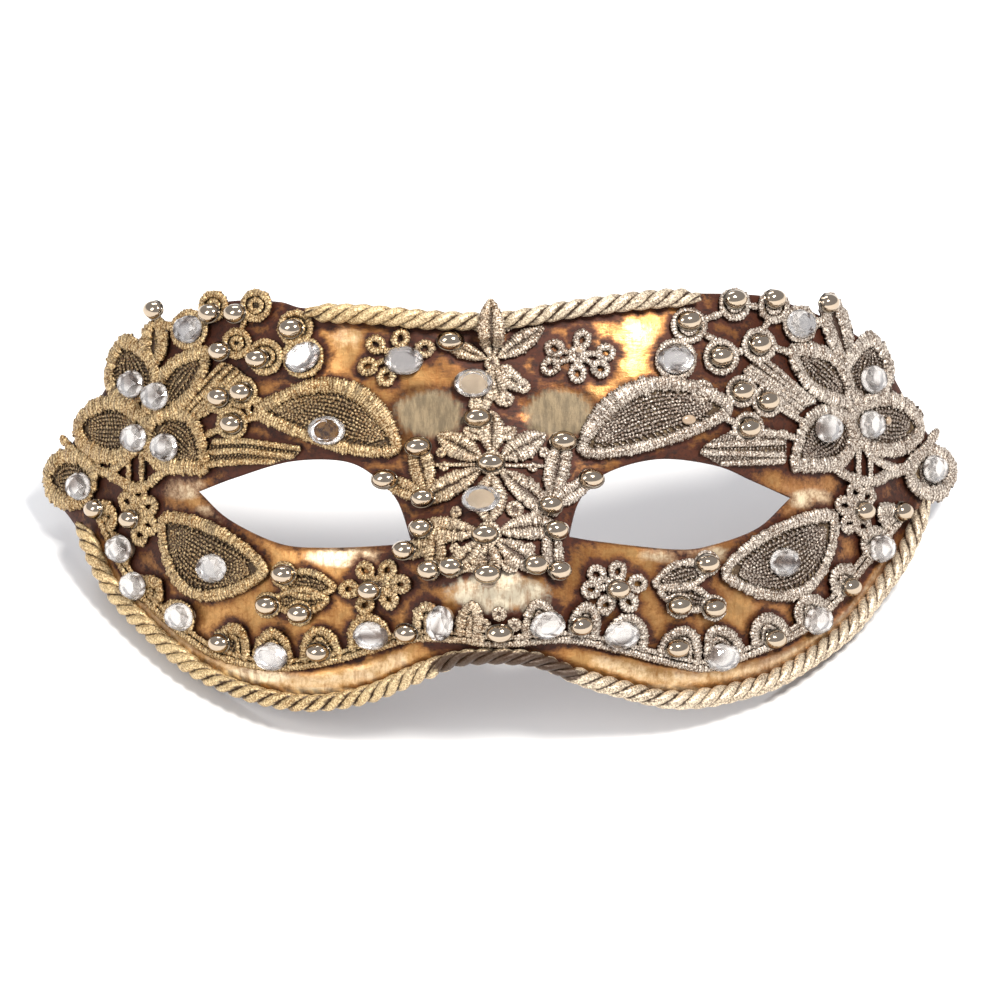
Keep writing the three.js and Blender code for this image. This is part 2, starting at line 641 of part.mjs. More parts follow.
const BORDER = {
  line: [
    [-89.6, -1], [-87.6, -5], [-81.2, -17.8], [-72.8, -26.4], [-63.6, -33.2], [-54.2, -36.2], [-45, -36.7],
    [-35.6, -35.2], [-27.9, -33], [-18.3, -30.4], [-8.4, -30.6], [-0.1, -31.6], [14.2, -30.6],
    [24.5, -32.6], [33.9, -35], [43.7, -37], [51.2, -35], [64.9, -29.2], [73, -22.8], [79.9, -14.4],
    [87.6, -5], [89.2, -1],
  ],
  foot: 2.6,
  slant: 0.5, // how far the top edges stand inside the bottom ones
  leastStep: 0.9, // between two places along the line
  archSteps: [-1, -0.8, 0, 0.8], // places along an arch, as shares of half its width
  arches: [
    { at: [-88, -4.6], width: 6.2, height: 5 },
    { at: [-85, -12], width: 7.6, height: 4 },
    { at: [-77, -20.8], width: 7, height: 6 },
    { at: [-70.8, -27], width: 8, height: 6.4 },
    { at: [-58.5, -33.4], width: 9.4, height: 8.6 },
    { at: [-48.9, -36.2], width: 9.4, height: 9 },
    { at: [-38, -35], width: 9.2, height: 8.6 },
    { at: [-27, -32.4], width: 9.4, height: 8.6 },
    { at: [-15.4, -30], width: 5.6, height: 8.4 },
    { at: [-7, -30.6], width: 5, height: 9 },
    { at: [8.8, -31], width: 7.4, height: 9.6 },
    { at: [17.2, -31.4], width: 6.2, height: 9 },
    { at: [26.2, -32.8], width: 9.4, height: 8.6 },
    { at: [38, -35.6], width: 9.8, height: 9 },
    { at: [48.6, -35.6], width: 9.6, height: 9.2 },
    { at: [59.3, -32], width: 8.6, height: 7.6 },
    { at: [68.8, -26.6], width: 8, height: 6.8 },
    { at: [76.6, -19], width: 7, height: 5.8 },
    { at: [83.4, -11], width: 6.6, height: 5.4 },
    { at: [87.4, -5.4], width: 5.8, height: 6.4 },
  ],
  flower: { at: [-0.2, -27.2], radius: 4.8 },
  beads: [
    [-88, -2], [-60.3, -30.8], [-39, -32.6], [-19.9, -28.3], [17.2, -26.8], [38, -31.7], [59.1, -29.9],
    [75.8, -18.8], [87.4, -2.5],
  ],
};

const STONES = {
  temple_left_ring: [-67.1, 36.8],
  brow_left_ring: [-42.2, 30.6],
  temple_left_upper: [-79.7, 25.1],
  temple_left_heart: [-74.3, 22.4],
  temple_left_outer: [-79, 13.4],
  temple_left_inner: [-72.2, 11.4],
  temple_left_corner: [-91.4, 3],
  brow_left: [-37.1, 14.9],
  forehead_left: [-20.6, 29.8],
  cheek_left_leaf: [-61.9, -14.7],
  border_left_1: [-82.4, -10.6],
  border_left_2: [-79.2, -18.6],
  border_left_3: [-69, -25.2],
  border_left_4: [-49.1, -33.6],
  border_left_5: [-27.5, -29],
  border_left_6: [-12.7, -26.2],
  forehead_middle: [-5.7, 25],
  nose: [-4, 0.1],
  temple_right_ring: [64.7, 38],
  brow_right_ring: [37.6, 30.1],
  temple_right_upper: [80.7, 26.2],
  temple_right_inner: [70.7, 15.5],
  temple_right_outer: [80.3, 16.3],
  temple_right_corner: [94.6, 6.8],
  cheek_right_leaf: [61.1, -13.4],
  border_right_1: [82.6, -10.5],
  border_right_2: [68.5, -26],
  border_right_3: [47.8, -33.8],
  border_right_4: [26, -28.8],
  border_right_5: [10, -26.6],
};
const BEADS_ALONE = {
  sprig_left: [-74.7, 41.1],
  sprig_right: [70.9, 42.5],
  forehead_middle: [-4.8, 17.6],
  nose_bridge: [-2, 7.8],
  nose_middle: [-3.2, -7.4],
  nose_tip: [-2.7, -15.7],
  border_middle: [-0.1, -28.2],
};

// Stones and beads stand square to the shell, over a small dab of glue that is part of the lace.

function standing([x, y], lift, thick) {
  const normal = faceNormal(x, y);
  const middle = onFace(x, y, lift + thick / 2);
  const across = new THREE.Vector3(0, 1, 0).cross(normal).normalize();
  const up = new THREE.Vector3().crossVectors(normal, across);
  const turn = new THREE.Matrix4().makeBasis(across, up, normal);
  return turn.setPosition(middle.addScaledVector(normal, -thick / 2));
}

function ovalRing(width, height, sides, z) {
  const ring = [];
  for (let i = 0; i < sides; i += 1) {
    const angle = (2 * Math.PI * (i + 0.5)) / sides;
    ring.push(new THREE.Vector3((width / 2) * Math.cos(angle), (height / 2) * Math.sin(angle), z));
  }
  return ring;
}

function stoneGeometry() {
  const { width, height, thick, table, sides } = STONE;
  const rings = [ovalRing(width, height, sides, 0), ovalRing(width * table, height * table, sides, thick)];
  return stack(rings, new THREE.Vector3(), new THREE.Vector3(0, 0, thick));
}

// A half-round bead. A sewn one draws in underneath to its stitch.
function beadGeometry(sewn) {
  const { width, height, thick, shoulder, shoulderUp, sides } = BEAD;
  const rings = [
    ovalRing(width, height, sides, 0),
    ovalRing(width * shoulder, height * shoulder, sides, thick * shoulderUp),
  ];
  return stack(rings, new THREE.Vector3(0, 0, sewn ? SEWN - SEAT : 0), new THREE.Vector3(0, 0, thick));
}

function sewnBead(at) {
  return beadGeometry(true).applyMatrix4(standing(at, SEAT, BEAD.thick));
}

// The dab of glue under a stone that lies over a net.
function dabUnder(at) {
  const { width, height, thick } = STONE;
  const { share, sides } = DAB;
  const [bottom, top] = [SEWN - SEAT, -CLEAR];
  const rings = [bottom, top].map((z) => ovalRing(width * share, height * share, sides, z));
  const dab = stack(rings, new THREE.Vector3(0, 0, bottom), new THREE.Vector3(0, 0, top));
  return dab.applyMatrix4(standing(at, SEAT, thick));
}

// The pieces of lace, each fused from its leaves, rings, bars, dabs of glue and sewn beads

const dabsFor = (...names) => names.map((name) => dabUnder(STONES[name]));

function templeLace({ netted, satin, rings, bars, brow, beads }) {
  return [
    nettedLeaf(brow, true),
    ...netted.map((leaf) => nettedLeaf(leaf)),
    ...satin.map(satinLeaf),
    ...rings.map(ringDisc),
    ...bars.map(bar),
    ...beads.map(sewnBead),
  ];
}

const lace = {
  lace_temple_left: [
    ...templeLace(TEMPLE_LEFT),
    ...dabsFor("temple_left_upper", "temple_left_outer", "temple_left_inner"),
    ...dabsFor("temple_left_corner", "brow_left"),
  ],
  lace_temple_right: [
    ...templeLace(TEMPLE_RIGHT),
    ...dabsFor("temple_right_upper", "temple_right_outer", "temple_right_inner", "temple_right_corner"),
  ],
  lace_cheek_left: [nettedLeaf(CHEEK_LEAVES.left, true), ...dabsFor("cheek_left_leaf")],
  lace_cheek_right: [nettedLeaf(CHEEK_LEAVES.right, true), ...dabsFor("cheek_right_leaf")],
  lace_border: [archedStrip(BORDER), flowerDisc(BORDER.flower), ...BORDER.beads.map(sewnBead)],
  lace_nose: [
    ...NOSE_LACE.hubs.map(ringDisc),
    ...NOSE_LACE.leaves.map(satinLeaf),
    ...NOSE_LACE.bars.map(bar),
    ...NOSE_LACE.beads.map(sewnBead),
  ],
  lace_forehead: [
    ringDisc(FOREHEAD.hub),
    ...FOREHEAD.leaves.map(satinLeaf),
    leafOverCord(FOREHEAD.overCord),
    ...FOREHEAD.beads.map(sewnBead),
  ],
};
for (const [side, { leaves, beads }] of Object.entries(SCROLLS)) {
  lace[`lace_scroll_${side}`] = [...leaves.map((leaf) => nettedLeaf(leaf)), ...beads.map(sewnBead)];
}
for (const [place, { at, radius, bead }] of Object.entries(FLOWERS)) {
  lace[`flower_${place}`] = [flowerDisc({ at, radius }), ...(bead ? [sewnBead(bead)] : [])];
}

// A leaf whose upper half passes over the upper cord.
function leafOverCord(leaf) {
  const { start, full, sides } = OVER_CORD;
  const cordMiddle = edgeAt(UPPER_EDGE, leaf.to[0]) - CORD.inset;
  const raise = (y) => CORD.radius * 2 * smoothStep(cordMiddle + start, cordMiddle + full, y);
  const over = (places, lift) => places.map(({ x, y }) => onFace(x, y, lift + raise(y)));
  const middle = new THREE.Vector2(leaf.to[0], cordMiddle + full);
  const rings = [
    over(leafOutline(leaf, 0, sides), LACE.base),
    over(leafOutline(leaf, SATIN.shoulder, sides), LACE.net),
  ];
  return stack(rings, ...over([middle], LACE.base), ...over([middle], LACE.cord));
}

// The mask put together

const finishes = {
  gilt: new THREE.MeshStandardMaterial({ color: 0xb5803f, roughness: 0.35, metalness: 0.8 }),
  cord: new THREE.MeshStandardMaterial({ color: 0xa98a5c, roughness: 0.5, metalness: 0.6 }),
  lace: new THREE.MeshStandardMaterial({ color: 0x9c8462, roughness: 0.6, metalness: 0.5 }),
  stone: new THREE.MeshStandardMaterial({ color: 0xf2f2f0, roughness: 0.05, metalness: 0 }),
  bead: new THREE.MeshStandardMaterial({ color: 0xb3a98c, roughness: 0.12, metalness: 1 }),
};
// How the mask lies: its turn in degrees, then its shift.
const REST = { tilt: 51, forward: -15.63, up: 49.9 };

const mask = new THREE.Group();
mask.rotation.x = THREE.MathUtils.degToRad(REST.tilt);
mask.position.set(0, REST.forward, REST.up);
mask.updateMatrixWorld(true);

function addPiece(name, geometry, finish) {
  const piece = new THREE.Mesh(geometry, finish);
  piece.name = name;
  mask.add(piece);
  return piece;
}

// What lies below the table is taken off, which leaves the two small flats that the mask rests on.
function dressedFlat(solid) {
  const depth = 100;
  const under = new THREE.BoxGeometry(4 * depth, 4 * depth, depth);
  under.translate(0, 0, -depth / 2);
  under.applyMatrix4(mask.matrixWorld.clone().invert());
  return solid.subtract(solidOf(under));
}

const eyes = [eyePrism(EYES.left), eyePrism(EYES.right)].map(solidOf);
const shell = eyes.reduce((solid, eye) => solid.subtract(eye), solidOf(shellGeometry()));
addPiece("mask_shell", geometryOf(dressedFlat(shell)), finishes.gilt);
addPiece("cord_upper", cordGeometry(UPPER_EDGE, CORD_ENDS.upper, -CORD.inset), finishes.cord);
addPiece("cord_lower", cordGeometry(LOWER_EDGE, CORD_ENDS.lower, CORD.inset), finishes.cord);
for (const [name, pieces] of Object.entries(lace)) {
  addPiece(name, fused(pieces), finishes.lace);
}
for (const [name, at] of Object.entries(STONES)) {
  const stone = addPiece(`stone_${name}`, stoneGeometry(), finishes.stone);
  stone.applyMatrix4(standing(at, SEAT, STONE.thick));
}
for (const [name, at] of Object.entries(BEADS_ALONE)) {
  const bead = addPiece(`bead_${name}`, beadGeometry(false), finishes.bead);
  bead.applyMatrix4(standing(at, SEAT, BEAD.thick));
}

export default mask;
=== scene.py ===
"""The finished surfaces of a half-face mask of gilded papier-mache, dressed with cord, lace and stones.

Places are in millimetres on the face as it is seen from the front: x to the right and y up the forehead. A
lift is a height above the shell, along its own normal. `to_world` turns that face to the way the mask lies.
"""

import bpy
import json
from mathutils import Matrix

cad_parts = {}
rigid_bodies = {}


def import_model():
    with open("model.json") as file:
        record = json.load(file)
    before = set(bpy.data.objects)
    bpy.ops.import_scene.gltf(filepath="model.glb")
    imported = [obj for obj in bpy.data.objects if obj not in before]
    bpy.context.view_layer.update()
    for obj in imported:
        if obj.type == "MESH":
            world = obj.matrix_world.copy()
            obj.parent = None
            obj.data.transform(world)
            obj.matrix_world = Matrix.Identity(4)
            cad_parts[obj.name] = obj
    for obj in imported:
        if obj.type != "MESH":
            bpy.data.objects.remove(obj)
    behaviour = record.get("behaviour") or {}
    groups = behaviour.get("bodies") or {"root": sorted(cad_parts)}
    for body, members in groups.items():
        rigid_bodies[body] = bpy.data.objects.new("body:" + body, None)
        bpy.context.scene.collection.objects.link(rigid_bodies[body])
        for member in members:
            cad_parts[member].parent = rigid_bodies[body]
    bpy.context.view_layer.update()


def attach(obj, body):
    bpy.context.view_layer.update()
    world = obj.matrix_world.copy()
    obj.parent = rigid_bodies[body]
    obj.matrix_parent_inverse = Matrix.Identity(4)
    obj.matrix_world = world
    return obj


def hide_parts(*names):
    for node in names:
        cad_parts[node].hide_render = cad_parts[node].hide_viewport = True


bl_info = {
    "name": "Colombina Mask",
    "version": (1, 0, 0),
    "blender": (4, 5, 0),
    "location": "View3D > Sidebar > Mask",
    "description": "Builds the shell, cords, lace, stones and beads of a carnival half mask",
    "category": "Add Mesh",
}

import json
import math

import bpy
import numpy as np
from mathutils import Vector, kdtree
from mathutils.bvhtree import BVHTree
from mathutils.geometry import delaunay_2d_cdt

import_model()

MM = 0.001

# The form of the face

FACE = {"middle": -0.4, "flat": 10, "span": 85, "slope": 1.5, "crown_y": 4, "crown_radius": 140}
NOSE = {"x": -1, "bridge": 22, "tip": -20, "end": -38, "height": 18, "tuck": 5, "spread": (8, 15)}
SOCKET = {"x": 41, "y": -1, "spread": (22, 13), "depth": 3}
REST = {"tilt": 51, "forward": -15.63, "up": 49.9}

UPPER_EDGE = [
    (-98.8, 7), (-94.2, 11.5), (-89.6, 18), (-85.6, 24.7), (-81.4, 31), (-77.1, 34.6), (-70.7, 37.6),
    (-64.3, 41.2), (-57.9, 42.9), (-47.2, 42.6), (-42.7, 41.3), (-27.9, 40.6), (-14.2, 39.4), (0.7, 39.4),
    (14.9, 41.7), (32.4, 43.9), (43.3, 44.4), (57.6, 43.9), (64.1, 41.8), (68.3, 40.3), (73.7, 37.8),
    (79, 34.6), (83.3, 30.6), (89.7, 19.8), (94, 13.8), (98.6, 9),
]
LOWER_EDGE = [
    (-98.8, 1), (-95, -2.6), (-91.2, -8), (-85.3, -19.3), (-76.7, -28.5), (-66.2, -37), (-54.4, -42.3),
    (-41, -44.5), (-27.9, -42.4), (-15.8, -37.3), (-7.9, -34.9), (6.8, -35.1), (15.6, -38.2), (24.1, -40.9),
    (38, -43.8), (56.2, -40.7), (66.9, -35.3), (76.3, -28.3), (83, -20.2), (88.9, -12), (93.4, -2),
    (96, 2), (98.6, 4.4),
]
EYES = {
    "left": [
        [(-64.9, 1.8), (-56.8, 4.8), (-45, 8.2), (-33.7, 8.3), (-27.1, 5.2), (-22, -0.2), (-19, -8.7)],
        [(-19, -8.7), (-23.4, -9.6), (-37.5, -10.2), (-47.4, -9.3), (-58.3, -4.2), (-64.9, 1.8)],
    ],
    "right": [
        [(62.5, 0.4), (54.4, 4), (46.1, 7.4), (33.7, 8.7), (22.4, 5.5), (17, -0.2), (14.7, -7.8)],
        [(14.7, -7.8), (21.5, -8.9), (38, -10.6), (46.1, -9.5), (55.5, -6), (62.5, 0.4)],
    ],
}
RIM = {"inset": 4.6, "half": 2.2, "height": 1.0, "side_share": 0.72, "broader": 0.8, "broad_x": 36}
RIM_REACH = {"nose": (12, 22), "side": (45, 75), "temple": (82, 90)}
CORD_ENDS = {"lower": (-92.6, 94), "upper": (-41.5, 42.8)}
CORD_INSET = 0.9
CRUSHED = (-11, 13)
PRESSED = 0.35  # how much of its height the lower cord loses there

# Lifts above the shell: the ground of the lace, the threads of its nets, its cords, and the height from which
# stones and beads are let down on it

LIFT = {"ground": 0.4, "net": 0.72, "cord": 0.95, "seat": 1.85}
NET_SPACING = {"leaf": 1.0, "brow": 0.95}
FULLER = 1.2  # how much the stitches swell the leaves of the nose

# Sewn cords: their width and, where they differ from the usual ones, their lift and half height

SEWN = {
    "band": {"width": 1.9},
    "cord": {"width": 1.6},
    "thread": {"width": 1.4, "lift": 0.8, "high": 0.55},
    "web": {"width": 1.25, "lift": 0.86, "high": 0.55},
    "sprig_rim": {"width": 1.1},
    "bead_loop": {"width": 1.3, "lift": 0.8},
    "border_foot": {"width": 1.5},
    "border_line": {"width": 1.1, "lift": 0.8},
    "arch": {"width": 2.2, "high": 0.74},
    "inner_arch": {"width": 1.1, "lift": 0.8},
    "petal": {"width": 1.6, "lift": 0.8, "high": 0.62},
    "petal_stem": {"width": 1.4, "lift": 0.7},
    "over_cord_rim": {"width": 0.9, "lift": 0.7},
    "nose_thread": {"width": 0.9, "lift": 0.6},
}

# How cords and threads are worked. Each rib of a satin cord has three steps, with these sizes and depths, and
# the depths darken its grooves as painted shade.
# Heights are shares of a width, what is uneven is a share of a size, and drifts and wavers are millimetres.

RIB_SHAPE = np.array([0.84, 1.05, 0.97])
RIB_GROOVE = np.array([0.34, 0.0, 0.1])
SATIN = {"height": 0.36, "uneven": 0.1, "waver": 0.08, "tip": 0.12, "broader": 0.6}
THREAD_BEAT = np.array([0.72, 1.1, 0.95])
# A thread's deeper share darkens all of it as painted shade, since it lies lower in the lace than the cords.
THREAD = {"step": 0.26, "height": 0.42, "uneven": 0.1, "drift": 0.1, "waver": 0.07, "deeper": 0.22}
GROUND = {"foot": 0.05, "deep": 0.8, "rough": 0.1}
WEB = {"rows": 60, "ground": 0.55, "rough": 0.16, "stitches": 24, "stitch_width": 0.5, "stitch_lift": 0.66}
ARCH = {"step": 0.25, "waist": 0.12, "foot": 1.4, "round": 0.72, "inset": 0.8, "inner_inset": 2.7}
OVER_CORD = {"start": -5.5, "full": -3}  # where a leaf climbs, from the middle of the cord

# The strands of an edge cord: "helix" is how far they wind from its middle and "radius" how thick they are,
# as shares of its radius. "twist" is how fast each turns, and "ridge" how far its threads stand out.

STRAND = {
    "count": 3, "sides": 12, "helix": 0.5, "radius": 0.52, "uneven": 0.05,
    "twist": 0.9, "threads": 6, "ridge": 0.05,
}

# Where the lace lies. A leaf runs from its base to its tip, and bows to the left by `bend`.

TEMPLES = {
    "left": {
        "petals": [
            {"from": (-87.6, 5.6), "to": (-99.9, 3.6), "width": 12.2, "round": 0.5},
            {"from": (-75.6, 15.2), "to": (-93, 15.4), "width": 13.6, "round": 0.5},
            {"from": (-62.8, 6.4), "to": (-76, 17.8), "width": 13.4, "peak": 0.6, "round": 0.7},
            {"from": (-77.6, 17.6), "to": (-81.8, 35.4), "width": 12.2, "round": 0.7},
            {"from": (-74, 17.2), "to": (-62.6, 32.4), "width": 9.2, "bend": 1.2},
        ],
        "bands": [
            [(-85.3, 5.5), (-83.2, 4.7), (-80, 2.8), (-77.1, 2.8), (-73.5, 5.5), (-70.6, 7.6)],
            [(-77.1, 10.8), (-74.9, 8.3), (-73.2, 6.5)],
        ],
        "sprig": {"from": (-75.4, 29.4), "to": (-74.6, 38.4), "width": 6.2, "round": 0.6},
        "rings": [
            (-67.1, 36.8, 4.3), (-61.8, 41.8, 3.4), (-52.5, 41.8, 3.6), (-43.9, 36.9, 4), (-56.6, 33.7, 3.4),
            (-50.4, 30.7, 4), (-42.2, 30.6, 4.6),
        ],
        "cords": [
            [(-96, 13.7), (-93.2, 11.1), (-89, 7.4), (-85.3, 6), (-81.6, 8.2), (-78.6, 11.4)],
            [(-70.6, 37.4), (-73.6, 38.4), (-74.6, 41.4)],
        ],
        "threads": [
            [(-56, 36), (-54.4, 39.4)], [(-64.6, 31.2), (-59, 33)], [(-54, 32.6), (-52.6, 31.8)],
            [(-46.6, 30.8), (-46, 30.8)], [(-64.4, 32.4), (-65.6, 34)],
            [(-66.6, 16.4), (-60.4, 22.1), (-55.5, 23.2), (-51, 18.8)],
            [(-64, 13.6), (-57.6, 16.4), (-51.6, 18)],
            [(-80.5, 2.9), (-80.5, 9.6)], [(-77.5, 2.7), (-77.5, 11.2)],
            [(-83.9, 7), (-84.1, 9.1)], [(-87.2, 6.6), (-87.4, 9)],
        ],
        "webs": [
            [
                [(-68.6, 20.4), (-59.4, 29.6)], [(-67.5, 19.4), (-57.7, 28.8)],
                [(-66.4, 18.5), (-56.1, 27.9)], [(-65.2, 18.3), (-55.1, 27)], [(-64.1, 18.1), (-54.2, 26)],
            ],
            [
                [(-62.1, 12.5), (-55.7, 12.7), (-49.3, 11.9), (-42.7, 11)],
                [(-62.6, 10.2), (-55.7, 10.6), (-49.3, 9.9), (-44, 9.3)],
                [(-63.2, 7.6), (-55.7, 8.2), (-48.2, 8.2)],
            ],
        ],
        "loops": [(-60.4, 22.1, 2.6), (-55.5, 23.2, 2.6), (-57.6, 16.4, 2.6), (-52.2, 19.6, 1.6)],
        "brow": {
            "from": (-53.1, 18.6), "to": (-21.2, 10.5), "width": 14.3, "bend": 4, "peak": 0.55, "round": 0.7,
            "swell": 1.5,
        },
        "beads": [
            (-62.5, 40.2), (-56.9, 40.1), (-44.8, 36.7), (-60.2, 32), (-52.1, 30.3), (-60.4, 22.1),
            (-55.5, 23.2), (-57.6, 16.4),
        ],
    },
    "right": {
        "petals": [
            {"from": (88.2, 5.6), "to": (99.9, 6.4), "width": 11, "round": 0.5},
            {"from": (75.2, 17.2), "to": (92.6, 15.6), "width": 13, "round": 0.5},
            {"from": (62.6, 7.2), "to": (76.4, 17.8), "width": 13.2, "peak": 0.6, "round": 0.7},
            {"from": (79.2, 20.2), "to": (80.6, 36), "width": 11.4, "peak": 0.45, "round": 0.7},
            {"from": (76.2, 20.6), "to": (62.2, 32.6), "width": 9.8, "bend": -1},
        ],
        "bands": [
            [(70.6, 8), (73, 6.5), (76.2, 4.7), (80.5, 4), (84.4, 5.5), (88.3, 6.5)],
            [(77.6, 12.9), (74.8, 8.7), (73, 7.2)],
        ],
        "sprig": {"from": (75, 30.4), "to": (70.8, 44.6), "width": 6.4, "round": 0.6},
        "rings": [
            (64.7, 38, 4), (59, 41.6, 3.6), (50.4, 42, 3.6), (40.5, 37.4, 4), (55.7, 33.3, 3.9),
            (47.4, 30.7, 4), (37.7, 30.1, 4.6),
        ],
        "cords": [
            [(95.9, 15.3), (92.2, 11.1), (87.5, 7), (82, 8.4), (78.6, 12)],
            [(67.8, 38.2), (70.6, 38.8)],
        ],
        "threads": [
            [(56.6, 36.6), (58, 39)], [(55.8, 41.6), (53.4, 41.7)], [(48, 40.2), (43.4, 38.6)],
            [(63.6, 31.4), (59, 32.8)], [(52.6, 32.2), (50.6, 31.6)], [(46.8, 34), (43.6, 35.6)],
            [(66.8, 16), (57.5, 21.3), (51.9, 23.4), (47.8, 20.4)],
            [(64, 13.4), (53.4, 15.5), (47.4, 18)],
            [(77.6, 4.4), (77.6, 13)], [(80.3, 4), (80.3, 10)], [(79.9, 10.1), (81.4, 11.7)],
        ],
        "webs": [
            [
                [(52.3, 27.9), (64.3, 18.5)], [(53, 28.4), (65.2, 19.4)], [(53.6, 28.8), (66.2, 20.4)],
                [(55, 29.8), (67.2, 20.7)], [(56.4, 30.7), (68.1, 20.9)],
            ],
            [
                [(61.9, 14.4), (49.1, 14.4)], [(61.5, 12.5), (44, 11.7)], [(61.5, 9.7), (42.9, 10.2)],
                [(61.5, 8.4), (47.2, 7.8)],
            ],
        ],
        "loops": [(57.5, 21.3, 2.6), (51.9, 23.4, 2.6), (53.4, 15.5, 2.6), (43.4, 23.4, 1.6)],
        "brow": {
            "from": (50, 20), "to": (16.8, 10.2), "width": 14.3, "bend": -3.4, "round": 0.65, "swell": -1.5,
        },
        "beads": [
            (50.4, 43.1), (59, 43.3), (40.5, 38.4), (47.3, 30.8), (55.7, 33.5), (51.9, 23.4), (57.5, 21.3),
            (53.4, 15.5),
        ],
    },
}
CHEEK_LEAVES = {
    "left": {"from": (-49.9, -15.4), "to": (-73.4, -3.4), "width": 16, "bend": 4.4, "round": 0.7},
    "right": {"from": (47.4, -16), "to": (72.7, -3), "width": 16, "bend": -4.2, "round": 0.7},
}
SCROLLS = {
    "left": {
        "leaves": [
            {"from": (-48.2, -17.2), "to": (-35, -18.9), "width": 6.4},
            {"from": (-49.4, -22), "to": (-36.4, -21.4), "width": 6},
        ],
        "loops": [(-46.4, -16, 2.9), (-49.9, -22.6, 2.9), (-43, -24.3, 2.9)],
        "beads": [(-46.4, -16), (-49.9, -22.6), (-43, -24.3)],
    },
    "right": {
        "leaves": [
            {"from": (32.6, -18.1), "to": (45.4, -14.4), "width": 6.4},
            {"from": (33.6, -19.2), "to": (46.4, -22.6), "width": 6},
        ],
        "loops": [(44.4, -13.6, 2.9), (38.4, -22.6, 2.9), (45.9, -23.2, 2.9)],
        "beads": [(44.4, -13.6), (38.4, -22.6), (45.9, -23.2)],
    },
}
FLOWERS = {
    "forehead_left": {
        "at": (-22.4, 30.7),
        "petals": [(-26.6, 33.3), (-21.3, 34.5), (-28.3, 28.6), (-24.3, 26.4), (-16.1, 32.4)],
    },
    "forehead_right": {
        "at": (16.6, 31.1),
        "petals": [(17.6, 34.3), (22.6, 31.5), (21.5, 28.1), (16.6, 27.1), (10.8, 28.6), (11.7, 32.4)],
    },
    "cheek_inner_left": {
        "at": (-25.6, -18.2),
        "petals": [(-28.8, -15.2), (-24, -15), (-21.2, -18), (-23.7, -21.2), (-28.8, -22.4), (-32.3, -19.1)],
        "bead": (-27.9, -19.4),
    },
    "cheek_inner_right": {
        "at": (24.9, -18.3),
        "petals": [(20.6, -15.9), (25.1, -15.3), (29.4, -17.9), (27.5, -21.9), (22.6, -22.4), (19.4, -19.1)],
        "bead": (25.2, -19.1),
    },
    "cheek_outer_left": {
        "at": (-79, -3.4),
        "petals": [(-78.2, 1.4), (-76, -1.4), (-76, -5.5), (-78, -7.6), (-80.8, -0.3)],
        "bead": (-80.1, -4.2),
    },
    "cheek_outer_right": {
        "at": (78, -2.6),
        "petals": [(76.9, 1.6), (79.5, 0.7), (74.5, -1.2), (75.6, -5), (78.6, -5.7)],
        "bead": (78.8, -2.4),
    },
}
FOREHEAD = {
    "leaves": [
        {"from": (-0.4, 30.4), "to": (9.4, 37), "width": 4},
        {"from": (-3, 30.2), "to": (-12.6, 34), "width": 3.2},
        {"from": (-0.6, 28.4), "to": (5.4, 23.4), "width": 3.8},
        {"from": (-1.4, 28), "to": (0.4, 20), "width": 3.4},
        {"from": (-2.2, 28), "to": (-5.2, 16.6), "width": 4.4},
        {"from": (-2.6, 36.6), "to": (-7.4, 38.4), "width": 2.2},
        {"from": (-0.6, 36.6), "to": (4, 38.4), "width": 2.2},
    ],
    "over_cord": {"from": (-1.7, 30.2), "to": (-2, 43), "width": 5.4},
    "loops": [(-1.7, 29.4, 1.8), (1.4, 27.5, 1.7), (5, 24.3, 1.7), (1.4, 21.5, 1.7), (-5.2, 20.6, 1.7)],
    "beads": [(-10.6, 34)],
}
